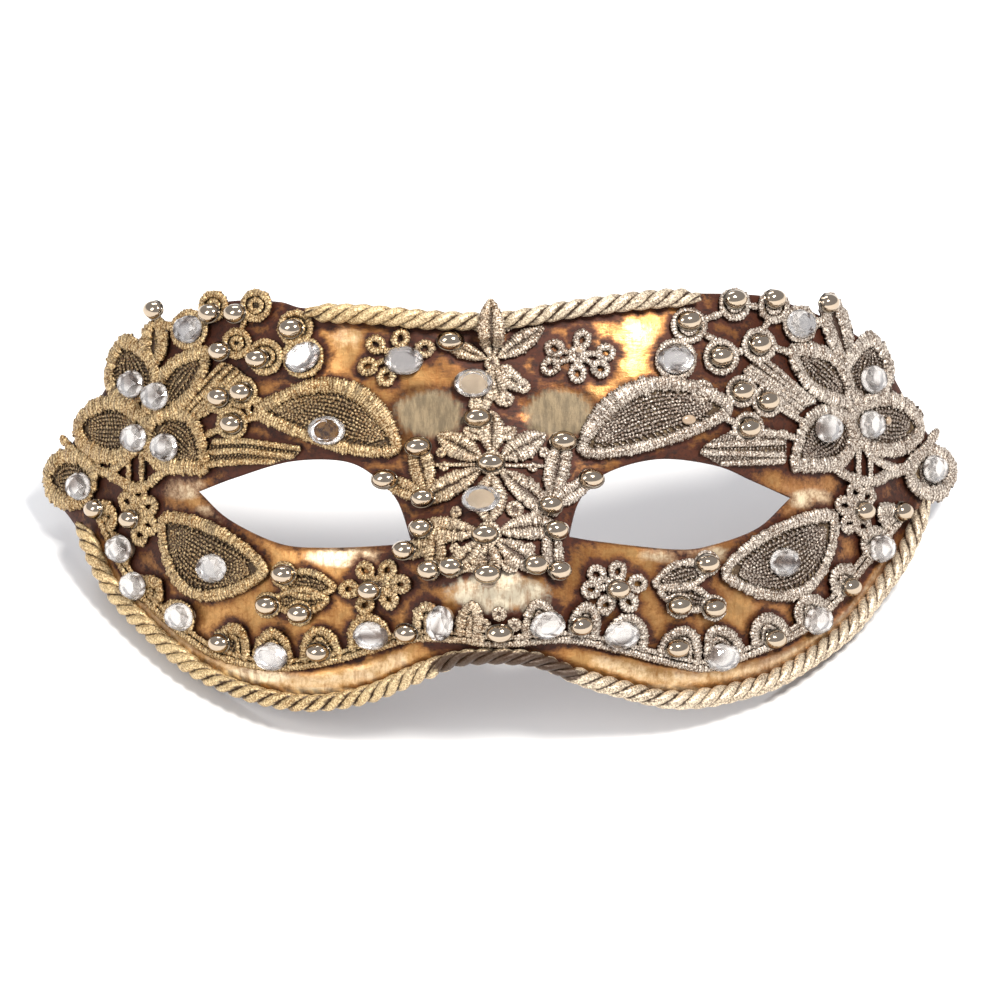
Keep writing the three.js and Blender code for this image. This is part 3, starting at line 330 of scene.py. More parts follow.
NOSE_LACE = {
    "leaves": [
        {"from": (-1.7, 10), "to": (-1.7, 19), "width": 4.2},
        {"from": (-3.9, 8.9), "to": (-13.4, 14), "width": 4.2},
        {"from": (0.3, 8.9), "to": (9.7, 14), "width": 4.2},
        {"from": (-3.9, 6.6), "to": (-18, -0.8), "width": 4},
        {"from": (0.1, 6.4), "to": (12.2, -3.4), "width": 4.2},
        {"from": (-18.2, 13), "to": (-15.4, 1.6), "width": 4.3},
        {"from": (13.8, 14), "to": (10.8, 0), "width": 4.3},
        {"from": (10, -1.8), "to": (21, 5.4), "width": 3},
        {"from": (-15, 0), "to": (-26.2, 5), "width": 3},
        {"from": (-4.6, -6.9), "to": (-18.6, -5.8), "width": 4},
        {"from": (-0.2, -6.9), "to": (13.4, -6.4), "width": 4.2, "bend": 1},
        {"from": (-4.2, -8.9), "to": (-11.4, -16.4), "width": 3.6},
        {"from": (-0.6, -8.7), "to": (8.8, -14.8), "width": 4.2},
        {"from": (-2.5, -9.4), "to": (-2.6, -16.4), "width": 4.6},
        {"from": (-13.4, -5.6), "to": (-14.2, -17.2), "width": 3.4},
        {"from": (-13.8, -9.4), "to": (-21.8, -11.4), "width": 3},
        {"from": (10.8, -5.4), "to": (11.6, -17), "width": 3.6},
        {"from": (-1.8, 5.4), "to": (-2.4, -5), "width": 5},
        {"from": (-3.4, 13.4), "to": (-7.8, 15.1), "width": 2.2},
        {"from": (-0.4, 13.4), "to": (3.5, 15.1), "width": 2.2},
        {"from": (-4.4, -13.2), "to": (-7.6, -14.7), "width": 2},
        {"from": (0.2, -13.2), "to": (3.7, -14.9), "width": 2},
    ],
    "loops": [
        (-1.8, 7.8, 2.8), (-2.5, -7.2, 2.8), (3.1, -2, 1.9), (-11.9, 7.2, 1.1), (7, 7, 1.1),
        (-9.4, -2.6, 1.3), (7.6, -3.4, 1.3), (-12.6, 10.2, 1.2), (9.4, 10.2, 1.2), (-9.6, -10.4, 1.2),
        (6.4, -10.2, 1.2),
    ],
    "threads": [[(-4, 7.5), (-10, 7.5), (-15.6, 7.4)], [(0.4, 7.4), (6, 7.3), (11.2, 7.2)]],
    "beads": [
        (-17.5, 11.4), (-24.7, 4.4), (-16.4, 0.3), (-16.8, -6.1), (-20.4, -10.8), (-15.1, -15),
        (-10.4, -14.2), (7.6, -13.8), (12.6, -15), (12, -6.5), (10.8, -1.2), (13.5, 12.6), (19.5, 4.5),
    ],
}
BORDER = {
    "line": [
        (-89.6, -1), (-87.6, -5), (-81.2, -17.8), (-72.8, -26.4), (-63.6, -33.2), (-54.2, -36.2),
        (-45, -36.7), (-35.6, -35.2), (-27.9, -33), (-18.3, -30.4), (-8.4, -30.6), (-0.1, -31.6),
        (14.2, -30.6), (24.5, -32.6), (33.9, -35), (43.7, -37), (51.2, -35), (64.9, -29.2), (73, -22.8),
        (79.9, -14.4), (87.6, -5), (89.2, -1),
    ],
    "arches": [
        (-88, -4.6, 6.2, 5), (-85, -12, 7.6, 4), (-77, -20.8, 7, 6), (-70.8, -27, 8, 6.4),
        (-58.5, -33.4, 9.4, 8.6), (-48.9, -36.2, 9.4, 9), (-38, -35, 9.2, 8.6), (-27, -32.4, 9.4, 8.6),
        (-15.4, -30, 5.6, 8.4), (-7, -30.6, 5, 9), (8.8, -31, 7.4, 9.6), (17.2, -31.4, 6.2, 9),
        (26.2, -32.8, 9.4, 8.6), (38, -35.6, 9.8, 9), (48.6, -35.6, 9.6, 9.2), (59.3, -32, 8.6, 7.6),
        (68.8, -26.6, 8, 6.8), (76.6, -19, 7, 5.8), (83.4, -11, 6.6, 5.4), (87.4, -5.4, 5.8, 6.4),
    ],
    "loops": [(-3.4, -26.6, 1.6), (-0.2, -24.2, 1.7), (3, -26.6, 1.6), (-4.6, -29.6, 1.5), (4.4, -29.8, 1.5)],
    "beads": [
        (-88, -2), (-60.3, -30.8), (-39, -32.6), (-19.9, -28.3), (17.2, -26.8), (38, -31.7), (59.1, -29.9),
        (75.8, -18.8), (87.4, -2.5),
    ],
}
BEADS_ALONE = {
    "sprig_left": (-74.7, 41.1),
    "sprig_right": (70.9, 42.5),
    "forehead_middle": (-4.8, 17.6),
    "nose_bridge": (-2, 7.8),
    "nose_middle": (-3.2, -7.4),
    "nose_tip": (-2.7, -15.7),
    "border_middle": (-0.1, -28.2),
}

# Stones: place, and how far the stone is turned on its seat, in degrees

STONES = {
    "temple_left_ring": (-67.1, 36.8, 0),
    "brow_left_ring": (-42.2, 30.6, 25),
    "temple_left_upper": (-79.7, 25.1, 0),
    "temple_left_heart": (-74.3, 22.4, 0),
    "temple_left_outer": (-79, 13.4, 0),
    "temple_left_inner": (-72.2, 11.4, 0),
    "temple_left_corner": (-91.4, 3, 0),
    "brow_left": (-37.1, 14.9, 0),
    "forehead_left": (-20.6, 29.8, 0),
    "cheek_left_leaf": (-61.9, -14.7, 0),
    "border_left_1": (-82.4, -10.6, 0),
    "border_left_2": (-79.2, -18.6, 0),
    "border_left_3": (-69, -25.2, 0),
    "border_left_4": (-49.1, -33.6, 0),
    "border_left_5": (-27.5, -29, 0),
    "border_left_6": (-12.7, -26.2, 60),
    "forehead_middle": (-5.7, 25, 0),
    "nose": (-4, 0.1, 0),
    "temple_right_ring": (64.7, 38, 0),
    "brow_right_ring": (37.6, 30.1, 0),
    "temple_right_upper": (80.7, 26.2, 0),
    "temple_right_inner": (70.7, 15.5, 0),
    "temple_right_outer": (80.3, 16.3, 0),
    "temple_right_corner": (94.6, 6.8, 0),
    "cheek_right_leaf": (61.1, -13.4, 0),
    "border_right_1": (82.6, -10.5, 0),
    "border_right_2": (68.5, -26, 0),
    "border_right_3": (47.8, -33.8, 0),
    "border_right_4": (26, -28.8, 0),
    "border_right_5": (10, -26.6, 0),
}

# The finishes of a stone, and the stones whose middle has lost its foil

CLEAR, FOIL, BEIGE, WORN = range(4)
MIDDLE_FINISH = {"brow_left": WORN, "forehead_middle": BEIGE, "nose": BEIGE}

# Glue left where stones are missing: place, width, height and lift

GLUE_MARKS = [
    (40.5, 17.2, 3.4, 2.2, 0.9), (17, 32.2, 2.4, 1.7, 0.9), (84.4, 17.2, 1.8, 2, 0.9),
    (-2.7, -18.1, 2.9, 1.3, 0.2),
]

# How a stone or bead is let down on the trim: how far above and below its underside the trim is felt for, on
# which rings of the underside and at how many places of each, in how many rounds, how far the piece sinks in,
# and the lowest and highest lift it may take

SETTLE = {
    "above": 0.9, "below": 6.0, "rings": (0.3, 0.6, 0.9), "places": 12, "rounds": 3,
    "sink": 0.05, "lowest": 0.7, "highest": 2.0,
}

# Glue under each stone and bead: the lift of its foot, on the shell and beyond the shell's edge, how much it
# spreads, and for each kind the share of the underside that it covers and how far it reaches into the piece

DAB = {
    "foot": 0.05, "free_foot": 0.6, "spread": 1.15, "sides": 14,
    "stone": (0.67, 0.22), "bead": (0.55, 0.05),
}

# The flange of a bead, as share of its size and height, and how much painted shade the bead's lower rings
# take

BEAD_FLANGE = [(0.94, 0.0), (1.0, 0.06), (1.01, 0.14), (0.99, 0.22), (0.94, 0.27), (0.92, 0.34)]
BEAD_SHADE = [1.0, 0.9, 0.7, 0.7, 1.0, 0.9, 0.45, 0.2, 0.08]

# Patches of the gilding, as place, reach across, reach up and strength: pale ones, rubbed bright and painted
# with highlights, then the dull green ones and the silver one

PALE_AND_HIGHLIGHT_PATCHES = [
    (-68.5, 2.9, 5, 2.5, 1), (-61, -3.1, 5, 2, 1), (-33, -12.3, 8, 2, 1), (-32.2, 35.4, 5, 4, 0.5),
    (30.9, 35.4, 5, 4, 0.45), (40.5, -11.7, 9, 2, 1), (67.3, 0.1, 5, 2, 1), (-36.5, -42, 12, 1.6, 1),
    (34.1, -41.6, 12, 1.6, 1), (-53.6, -37.8, 8, 1.5, 1),
]
SAGE_PATCHES = [(-15.1, 18.3, 6.4, 4.4, 1), (12.7, 18.3, 6.4, 4.6, 1)]
SILVER_PATCHES = [(-0.6, -19.9, 9.1, 3.6, 1)]

# Where the lace stands close together and the brown wash and painted shade are heaviest, in the same order

CLOSE_WORK = [
    (-62, 24, 12, 12, 0.6), (-82, 8, 9, 9, 0.55), (62, 25, 12, 12, 0.6), (82, 9, 9, 9, 0.55),
    (-2, 1, 9, 9, 0.5), (-2, -11, 10, 4, 0.4), (-50, 8, 12, 2.5, 0.35), (50, 9, 12, 2.5, 0.35),
    (-80, -14, 6, 7, 0.3), (81, -12, 6, 7, 0.4), (0, -28, 14, 3, 0.4),
    (-2, 27, 9, 8, 0.3), (-14, 27, 8, 5, 0.2), (9, 33, 4, 7, 0.22),
]

# Brown wash and painted shade as strength and reach: close to the trim, wide of it, round the eyes and along
# the edge. Then painted shade in the hollows of both sides, by their distance from the middle, height and
# reach, and at the foot of the nose.

WASH_AND_SHADE = {"close": (0.6, 1.5), "wide": (0.28, 4), "eyes": (0.42, 1.1), "edge": (0.4, 1.0)}
SHADED_HOLLOWS = [
    {"middle": -1, "x": 15, "y": -13, "reach": (4, 9)},
    {"middle": 0, "x": 40, "y": 8.5, "reach": (14, 2.6)},
]
HOLLOW_SHADE_STRENGTH = 0.3
NOSE_FOOT_SHADE = {"x": 1, "y": -34, "reach": (8, 2.2), "strength": 0.9}

# The mesh of the shell: the distance of its places, how far its walls reach in, and how far its middle keeps
# from them

SHEET = {"step": 0.85, "inset": 0.5, "clear": 0.55}

# The studio in metres: each light's place, width, height, power and tone, the sky, the camera and the floor

LIGHTS = {
    "key_light": ((0.55, -0.5, 1.5), 0.38, 0.38, 34, (1.0, 0.97, 0.93)),
    "fill_light": ((-1.1, -0.7, 0.9), 0.6, 0.9, 9, (1.0, 0.98, 0.96)),
    "back_light": ((-0.3, 1.1, 1.2), 0.9, 0.5, 9, (1.0, 1.0, 1.0)),
}
SKY = {"Color": (0.9, 0.92, 1.0, 1.0), "Strength": 0.5}
CAMERA = {"distance": 3.0, "width_seen": 0.2139}
FLOOR_REACH = 4.0


def paint(red, green, blue):
    """A colour given in the 0 to 255 of a colour chart, as linear numbers."""
    return tuple((part / 255) ** 2.2 for part in (red, green, blue))


def darker(colour, share):
    """A colour at this share of its brightness."""
    return tuple(share * part for part in colour)


def size_property(name, description, default):
    return bpy.props.FloatProperty(name=name, description=description, default=default, unit="LENGTH")


def colour_property(name, description, default):
    return bpy.props.FloatVectorProperty(
        name=name, description=description, default=default, size=3, subtype="COLOR", min=0, max=1
    )


class MaskSizes(bpy.types.PropertyGroup):
    wall: size_property("Wall", "Thickness of the papier-mache shell", 0.0025)
    cord: size_property("Edge cord", "Radius of the twisted cords along the edges", 0.00205)
    cord_turn: size_property("Cord turn", "Length of one full turn of a strand", 0.0116)
    lace_cord: size_property("Lace cord", "Width of the satin cords round the leaves", 0.0027)
    stitch: size_property("Stitch", "Distance from one stitch of a lace cord to the next", 0.00062)
    thread: size_property("Thread", "Width of a thread of the nets", 0.00066)
    stone_width: size_property("Stone width", "Longer side of a clear stone", 0.0086)
    stone_height: size_property("Stone height", "Shorter side of a clear stone", 0.0063)
    stone_thick: size_property("Stone thickness", "From a stone's flat back to its table", 0.0023)
    bead_width: size_property("Bead width", "Longer side of a half-round bead", 0.0061)
    bead_height: size_property("Bead height", "Shorter side of a half-round bead", 0.0044)
    bead_thick: size_property("Bead thickness", "Height of a half-round bead", 0.0025)


class MaskColours(bpy.types.PropertyGroup):
    gold: colour_property("Gold", "The gilding where it is clean", paint(216, 166, 104))
    # Pale stands for rubbed gilding and also for painted highlights on it.
    pale: colour_property("Pale gold", "The gilding where it is rubbed bright", paint(252, 234, 196))
    # Amber and patina stand for a brown wash on the gilding and also for painted shade in its recesses and
    # hollows.
    amber: colour_property("Amber", "The thin wash over the gilding", paint(140, 88, 44))
    patina_and_shade: colour_property("Patina", "The brown wash in the recesses of the gilding", paint(76, 38, 20))
    rose: colour_property("Rose brown", "The tint of the gilding on the right side", paint(156, 106, 98))
    sage: colour_property("Sage", "The two rubbed patches above the nose", paint(148, 130, 100))
    silver: colour_property("Silver", "The rubbed tip of the nose", paint(226, 214, 186))
    inside: colour_property("Inside", "The plain paint behind the mask", paint(96, 62, 34))
    lace_left: colour_property("Lace, left", "Golden lace thread", paint(242, 214, 162))
    lace_right: colour_property("Lace, right", "Rose silver lace thread", paint(252, 240, 224))
    thread_brown_left: colour_property("Worn lace, left", "Worn golden thread", paint(124, 88, 46))
    thread_brown_right: colour_property("Worn lace, right", "Worn silvery thread", paint(108, 88, 72))
    # Brown wash and painted shade between the threads and in the holes of the nets.
    lace_wash_and_shade: colour_property("Lace recesses", "The brown wash between the lace threads", paint(54, 32, 16))
    cord: colour_property("Cord", "The twisted cords along the edges", paint(228, 202, 152))
    bead: colour_property("Bead", "The polished metal beads", paint(196, 178, 156))
    foil: colour_property("Foil", "The foil behind the clear stones", paint(232, 227, 222))
    bare_back: colour_property("Bare back", "Behind stones that have lost their foil", paint(198, 176, 148))
    # Painted reflection: darker facets of the foil, where a facet would mirror something dark.
    foil_facet_shade: colour_property("Dull foil", "Duller parts of the foil", paint(118, 104, 96))
    glue: colour_property("Glue", "Dried glue", paint(190, 164, 136))
    floor: colour_property("Floor", "The pale floor", paint(250, 250, 249))


# The face as a surface


def smooth_step(start, end, value):
    share = np.clip((value - start) / (end - start), 0.0, 1.0)
    return share * share * (3.0 - 2.0 * share)


def bell(distance, spread):
    return np.exp(-0.5 * (distance / spread) ** 2)


def unit(vectors):
    """The vectors' directions, at length 1."""
    return vectors / np.maximum(np.linalg.norm(vectors, axis=-1, keepdims=True), 1e-9)


def face_height(places):
    x, y = places[:, 0], places[:, 1]
    turn = np.maximum(np.abs(x - FACE["middle"]) - FACE["flat"], 0) / FACE["span"]
    turned = np.where(turn < 1, turn**3 - turn**4 / 2, turn - 0.5)
    wrap = FACE["slope"] * FACE["span"] * turned
    crown = (y - FACE["crown_y"]) ** 2 / (2 * FACE["crown_radius"])
    bridge = smooth_step(NOSE["bridge"], NOSE["tip"], y)
    tuck = NOSE["tuck"] * smooth_step(NOSE["tip"], NOSE["end"], y)
    spread = NOSE["spread"][0] + (NOSE["spread"][1] - NOSE["spread"][0]) * bridge
    ridge = (NOSE["height"] * bridge - tuck) * bell(x - NOSE["x"], spread)
    beside_nose = bell(np.abs(x - NOSE["x"]) - SOCKET["x"], SOCKET["spread"][0])
    socket = SOCKET["depth"] * beside_nose * bell(y - SOCKET["y"], SOCKET["spread"][1])
    return ridge - wrap - crown - socket


def face_normal(places):
    step = 0.1
    right = np.array([step, 0.0])
    up = np.array([0.0, step])
    slope_x = (face_height(places + right) - face_height(places - right)) / (2 * step)
    slope_y = (face_height(places + up) - face_height(places - up)) / (2 * step)
    normal = np.column_stack([-slope_x, -slope_y, np.ones(len(places))])
    return unit(normal)


def on_face(places, lift):
    """The points that show at these places from the front and stand `lift` above the shell, with normals."""
    places = np.asarray(places, float)
    lift = np.broadcast_to(np.asarray(lift, float), (len(places),))
    normal = face_normal(places)
    for _ in range(5):
        foot = places - normal[:, :2] * lift[:, None]
        normal = face_normal(foot)
    return np.column_stack([places, face_height(foot) + normal[:, 2] * lift]), normal


def to_world(points):
    turn = math.radians(REST["tilt"])
    x, y, z = points.T
    forward = y * math.cos(turn) - z * math.sin(turn) + REST["forward"]
    up = y * math.sin(turn) + z * math.cos(turn) + REST["up"]
    return np.column_stack([x, forward, up]) * MM


# Lines on the face


def edge_at(edge, x):
    """Height of an edge at each x: a smooth curve through the edge's points."""
    points = np.array(edge, float)
    slopes = np.empty(len(points))
    slopes[1:-1] = (points[2:, 1] - points[:-2, 1]) / (points[2:, 0] - points[:-2, 0])
    slopes[0] = (points[1, 1] - points[0, 1]) / (points[1, 0] - points[0, 0])
    slopes[-1] = (points[-1, 1] - points[-2, 1]) / (points[-1, 0] - points[-2, 0])
    x = np.asarray(x, float)
    i = np.clip(np.searchsorted(points[:, 0], x, side="left") - 1, 0, len(points) - 2)
    span = points[i + 1, 0] - points[i, 0]
    t = np.clip((x - points[i, 0]) / span, 0, 1)
    rise = points[i + 1, 1] - points[i, 1]
    bend_start = slopes[i] * span - rise
    bend_end = slopes[i + 1] * span - rise
    return points[i, 1] + rise * t + t * (1 - t) * (bend_start * (1 - t) - bend_end * t)


def smooth_line(places, per_span=14):
    """A smooth line through a few places."""
    points = np.array(places, float)
    if len(points) == 2:
        return points[0] + (points[1] - points[0]) * np.linspace(0, 1, per_span)[:, None]
    padded = np.vstack([2 * points[0] - points[1], points, 2 * points[-1] - points[-2]])
    made = []
    for i in range(1, len(padded) - 2):
        t = np.linspace(0, 1, per_span, endpoint=False)[:, None]
        before, start, end, after = padded[i - 1 : i + 3]
        made.append(
            start
            + 0.5 * t * (end - before)
            + t**2 * (before - 2.5 * start + 2 * end - 0.5 * after)
            + t**3 * (1.5 * (start - end) + 0.5 * (after - before))
        )
    return np.vstack([*made, points[-1:]])


def evenly(line, step=None, count=None, closed=False):
    """The line sampled again at even distances."""
    line = np.vstack([line, line[:1]]) if closed else line
    lengths = np.concatenate([[0], np.cumsum(np.linalg.norm(np.diff(line, axis=0), axis=1))])
    if count is None:
        count = max(int(round(lengths[-1] / step)), 3) + (0 if closed else 1)
    at = np.linspace(0, lengths[-1], count, endpoint=not closed)
    return np.column_stack([np.interp(at, lengths, line[:, axis]) for axis in range(line.shape[1])])


def circle(x, y, radius, count=48, flat=1.0):
    angle = np.linspace(0, 2 * np.pi, count, endpoint=False)
    return np.column_stack([x + radius * np.cos(angle), y + radius * flat * np.sin(angle)])


def to_left(ahead):
    """Flat directions turned a quarter turn to the left."""
    return np.column_stack([-ahead[:, 1], ahead[:, 0]])


def beside(line, distance):
    """The line moved to its left."""
    return line + to_left(unit(np.gradient(line, axis=0))) * np.reshape(distance, (-1, 1))


def leaf_places(leaf, along, across, inset=0.0):
    """Places in a leaf: `along` from 0 at its base to 1 at its tip, `across` from -1 on its right to 1."""
    start = np.array(leaf["from"], float)
    ahead = np.array(leaf["to"], float) - start
    length = np.linalg.norm(ahead)
    ahead /= length
    left = np.array([-ahead[1], ahead[0]])
    skew = math.log(0.5) / math.log(leaf.get("peak", 0.5))
    along = np.asarray(along, float)
    wave = np.maximum(np.sin(np.pi * np.clip(along, 0, 1) ** skew), 0)
    spread = (leaf["width"] / 2 - inset) * wave ** leaf.get("round", 0.8)
    reach = inset + (length - 2 * inset) * along
    bow = 4 * leaf.get("bend", 0) * (reach / length) * (1 - reach / length)
    return start + ahead * reach[:, None] + left * (bow + across * spread)[:, None]


def leaf_rim(leaf, inset, count=60):
    share = np.linspace(0, 1, count, endpoint=False)
    right = leaf_places(leaf, share, -np.ones(count), inset)
    left = leaf_places(leaf, 1 - share, np.ones(count), inset)
    return np.vstack([right, left])


# Gathering faces into pieces


class Gather:
    """Gathers faces in millimetres on the face, with how deep in the work each point lies, from 0 to 1, which
    the finishes darken as painted shade.
    """

    def __init__(self):
        self.points = []
        self.faces = []
        self.finish = []
        self.deep = []
        self.count = 0

    def add(self, points, faces, deep=0.0, finish=0):
        """Takes in points and groups of faces on them, and gives the number of the first point."""
        start = self.count
        self.points.append(points)
        self.deep.append(np.broadcast_to(deep, (len(points),)))
        self.count += len(points)
        self.add_faces(faces, finish, start)
        return start

    def add_faces(self, faces, finish, start):
        for group in faces:
            self.faces.extend((np.asarray(group) + start).tolist())
            self.finish.extend([finish] * len(group))

    def make(self, name, finishes, nodes=(), smooth=True, layers=None):
        mesh = bpy.data.meshes.new(name)
        places = to_world(np.vstack(self.points))
        places[:, 2] = np.maximum(places[:, 2], 0.0)
        mesh.from_pydata(places.tolist(), [], self.faces)
        mesh.polygons.foreach_set("material_index", self.finish)
        mesh.polygons.foreach_set("use_smooth", [smooth] * len(self.faces))
        for layer, values in {"deep": np.concatenate(self.deep), **(layers or {})}.items():
            attribute = mesh.attributes.new(layer, "FLOAT", "POINT")
            attribute.data.foreach_set("value", np.asarray(values, np.float32))
        for finish in finishes:
            mesh.materials.append(finish)
        mesh.update()
        piece = bpy.data.objects.new(name, mesh)
        bpy.context.scene.collection.objects.link(piece)
        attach(piece, "root")
        if nodes:
            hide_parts(*nodes)
        return piece


def grid_faces(rows, columns, around=True):
    """Four-cornered faces of a grid of points, joined round each row or not."""
    i = np.arange(rows - 1)[:, None] * columns
    j = np.arange(columns if around else columns - 1)[None, :]
    k = (j + 1) % columns
    return np.stack([i + j, i + k, i + columns + k, i + columns + j], axis=-1).reshape(-1, 4)


def fan(tip, first, sides, inward=False):
    """Three-cornered faces from a tip to a ring of points that starts at `first`."""
    here = first + np.arange(sides)
    after = np.roll(here, -1)
    corners = [after, here] if inward else [here, after]
    return np.stack([np.full(sides, tip), *corners], axis=-1)


def tube(gather, line, out, wide, high, sides=8, groove=0.0, closed=False):
    """An oval tube along a line of points: `wide` and `high` are its half sizes along it."""
    count = len(line)
    last = (count - 1) * sides
    ahead = unit(np.roll(line, -1, 0) - np.roll(line, 1, 0) if closed else np.gradient(line, axis=0))
    side = unit(np.cross(ahead, out))
    up = np.cross(side, ahead)
    angle = 2 * np.pi * (np.arange(sides) + 0.5) / sides
    wide = np.broadcast_to(wide, (count,))[:, None, None]
    high = np.broadcast_to(high, (count,))[:, None, None]
    across = side[:, None, :] * wide * np.cos(angle)[None, :, None]
    rise = up[:, None, :] * high * np.sin(angle)[None, :, None]
    points = (line[:, None, :] + across + rise).reshape(-1, 3)
    # Painted shade: the underside of the tube, towards the shell, and its grooves are darker.
    low = np.clip(0.3 - 0.8 * np.sin(angle), 0, 1)[None, :]
    deep = np.clip(low + np.broadcast_to(groove, (count,))[:, None], 0, 1).reshape(-1)
    body = grid_faces(count, sides)
    if closed:
        j = np.arange(sides)
        k = (j + 1) % sides
        gather.add(points, [body, np.stack([last + j, last + k, k, j], axis=-1)], deep)
        return
    ends = [fan(len(points), 0, sides, True), fan(len(points) + 1, last, sides)]
    points = np.vstack([points, line[:1], line[-1:]])
    deep = np.concatenate([deep, [deep[0], deep[-1]]])
    gather.add(points, [body, *ends], deep)


def satin_cord(gather, places, width, random, lift=None, high=None, closed=False, sides=8, raise_by=None):
    """A cord covered with stitches across it, over the face."""
    stitch = bpy.context.scene.mask_sizes.stitch / MM
    length = np.linalg.norm(np.diff(places, axis=0), axis=1).sum()
    ribs = max(int(round(length / stitch)), 2)
    steps = len(RIB_SHAPE)
    count = ribs * steps + (0 if closed else 1)
    line = evenly(np.asarray(places, float), count=count, closed=closed)
    share = np.linspace(0, 1, count)
    width = np.interp(share, np.linspace(0, 1, len(np.atleast_1d(width))), np.atleast_1d(width))
    high = SATIN["height"] * width if high is None else np.broadcast_to(high, (count,))
    lift = LIFT["cord"] if lift is None else lift
    step = np.arange(count) % steps
    uneven = np.repeat(random.normal(0, SATIN["uneven"], ribs + 1), steps)[:count]
    size = RIB_SHAPE[step] * (1 + uneven)
    if not closed:
        from_end = np.minimum(share, 1 - share) * length
        size = size * np.sqrt(np.clip(from_end / (0.5 * width) + SATIN["tip"], 0, 1))
    centre = np.broadcast_to(lift, (count,)) + SATIN["waver"] * random.normal(0, 1, count)
    if raise_by is not None:
        centre = centre + raise_by(line)
    points, out = on_face(line, centre)
    broad = np.clip(out[:, 2], 0.5, 1) ** -SATIN["broader"]
    tube(gather, points, out, 0.5 * width * size * broad, high * size, sides, RIB_GROOVE[step], closed)


def plain_thread(gather, places, width, lift, random, sides=6):
    """A twisted thread: its thickness beats along it."""
    line = evenly(np.asarray(places, float), step=THREAD["step"])
    count = len(line)
    beat = np.arange(count) % len(THREAD_BEAT)
    size = THREAD_BEAT[beat] * (1 + random.normal(0, THREAD["uneven"], count))
    drift = beside(line, THREAD["drift"] * random.normal(0, 1, count))
    points, out = on_face(drift, lift + THREAD["waver"] * random.normal(0, 1, count))
    high = THREAD["height"] * width * size
    tube(gather, points, out, 0.5 * width * size, high, sides, RIB_GROOVE[beat] + THREAD["deeper"])


def ground_sheet(gather, places, rows, columns, lift, random, rough=GROUND["rough"]):
    """The dark woven ground under the threads of a net, as a grid of places with a thin closed edge."""
    top, _ = on_face(places, lift + rough * random.normal(0, 1, len(places)))
    bottom, _ = on_face(places, GROUND["foot"])
    faces = grid_faces(rows, columns, around=False)
    count = len(places)
    grid = np.arange(count).reshape(rows, columns)
    edge = np.concatenate([grid[:, 0], grid[-1, 1:], grid[-2::-1, -1], grid[0, -2:0:-1]])
    ahead = np.roll(edge, -1)
    wall = np.stack([edge, ahead, ahead + count, edge + count], axis=-1)
    gather.add(np.vstack([top, bottom]), [faces[:, ::-1], faces + count, wall], GROUND["deep"], finish=1)


def net_threads(gather, leaf, rim, thread, spacing, random):
    """The threads that run along a leaf, side by side, in small waves."""
    steps = 40
    room = leaf["width"] / 2 - rim - 0.3
    count = max(int(round(2 * room / spacing)), 1)
    for across in (np.arange(count) + 0.5) / count * 2 - 1:
        shorter = 0.1 * across**2
        share = np.linspace(0.04 + shorter, 0.96 - shorter, steps)
        line = leaf_places(leaf, share, np.full(steps, across * 0.94), rim + 0.25)
        wave = 0.13 * np.sin(np.arange(steps) * 2.4 + across * 9)
        plain_thread(gather, beside(line, wave), thread, LIFT["net"], random)


def net_ties(gather, leaf, rim, thread, random):
    """The short stitches that tie a net to the cord round it."""
    ties = max(int(leaf["width"] * 1.2), 6)
    length = 0.75 * rim
    for side in (-1, 1):
        for share in (np.arange(ties) + 0.5) / ties * 0.84 + 0.08:
            start, toward = leaf_places(leaf, [share, share + 0.02], [side * 0.99, side * 0.8], 0.7 * rim)
            inward = (toward - start) * (length / max(np.linalg.norm(toward - start), 1e-6))
            tie = np.array([start, start + inward * 0.5, start + inward])
            plain_thread(gather, tie, thread * 0.8, LIFT["net"], random, sides=5)


def rim_width(leaf, rim):
    """The width of the cord all the way round a leaf. A leaf that swells has it broader along one side."""
    count = 121
    width = np.full(count, rim)
    swell = leaf.get("swell", 0)
    if swell:
        share = np.linspace(0, 2, count)
        on_side = share > 1 if swell > 0 else share < 1
        along = np.where(share > 1, 2 - share, share)
        width = width + np.where(on_side, abs(swell) * bell(along - 0.72, 0.22), -0.2)
    return width


def netted_leaf(gather, leaf, random, rim=None, spacing=NET_SPACING["leaf"]):
    """A leaf of threads along it over a dark ground, with a satin cord round it."""
    rim = bpy.context.scene.mask_sizes.lace_cord / MM if rim is None else rim
    thread = bpy.context.scene.mask_sizes.thread / MM
    rows, columns = 25, 9
    along = np.linspace(0.02, 0.98, rows)
    share, across = np.meshgrid(along, np.linspace(-0.98, 0.98, columns), indexing="ij")
    places = leaf_places(leaf, share.ravel(), across.ravel(), 0.4 * rim)
    ground_sheet(gather, places, rows, columns, LIFT["ground"], random)
    net_threads(gather, leaf, rim, thread, spacing, random)
    net_ties(gather, leaf, rim, thread, random)
    outline = leaf_rim(leaf, 0.34 * rim)
    satin_cord(gather, outline, rim_width(leaf, rim), random, high=0.78, closed=True, sides=10)


def web(gather, lines, random):
    """Cords side by side with soft lace between them."""
    for line in lines:
        satin_cord(gather, smooth_line(line), random=random, **SEWN["web"])
    places = np.stack([evenly(smooth_line(line), count=WEB["rows"]) for line in lines], axis=1)
    ground_sheet(gather, places.reshape(-1, 2), WEB["rows"], len(lines), WEB["ground"], random, WEB["rough"])
    for before, after in zip(lines, lines[1:]):
        starts = evenly(smooth_line(before), count=WEB["stitches"])
        ends = evenly(smooth_line(after), count=WEB["stitches"])
        for start, end in zip(starts, ends):
            stitch = smooth_line([start, end], 6)
            plain_thread(gather, stitch, WEB["stitch_width"], WEB["stitch_lift"], random, sides=5)


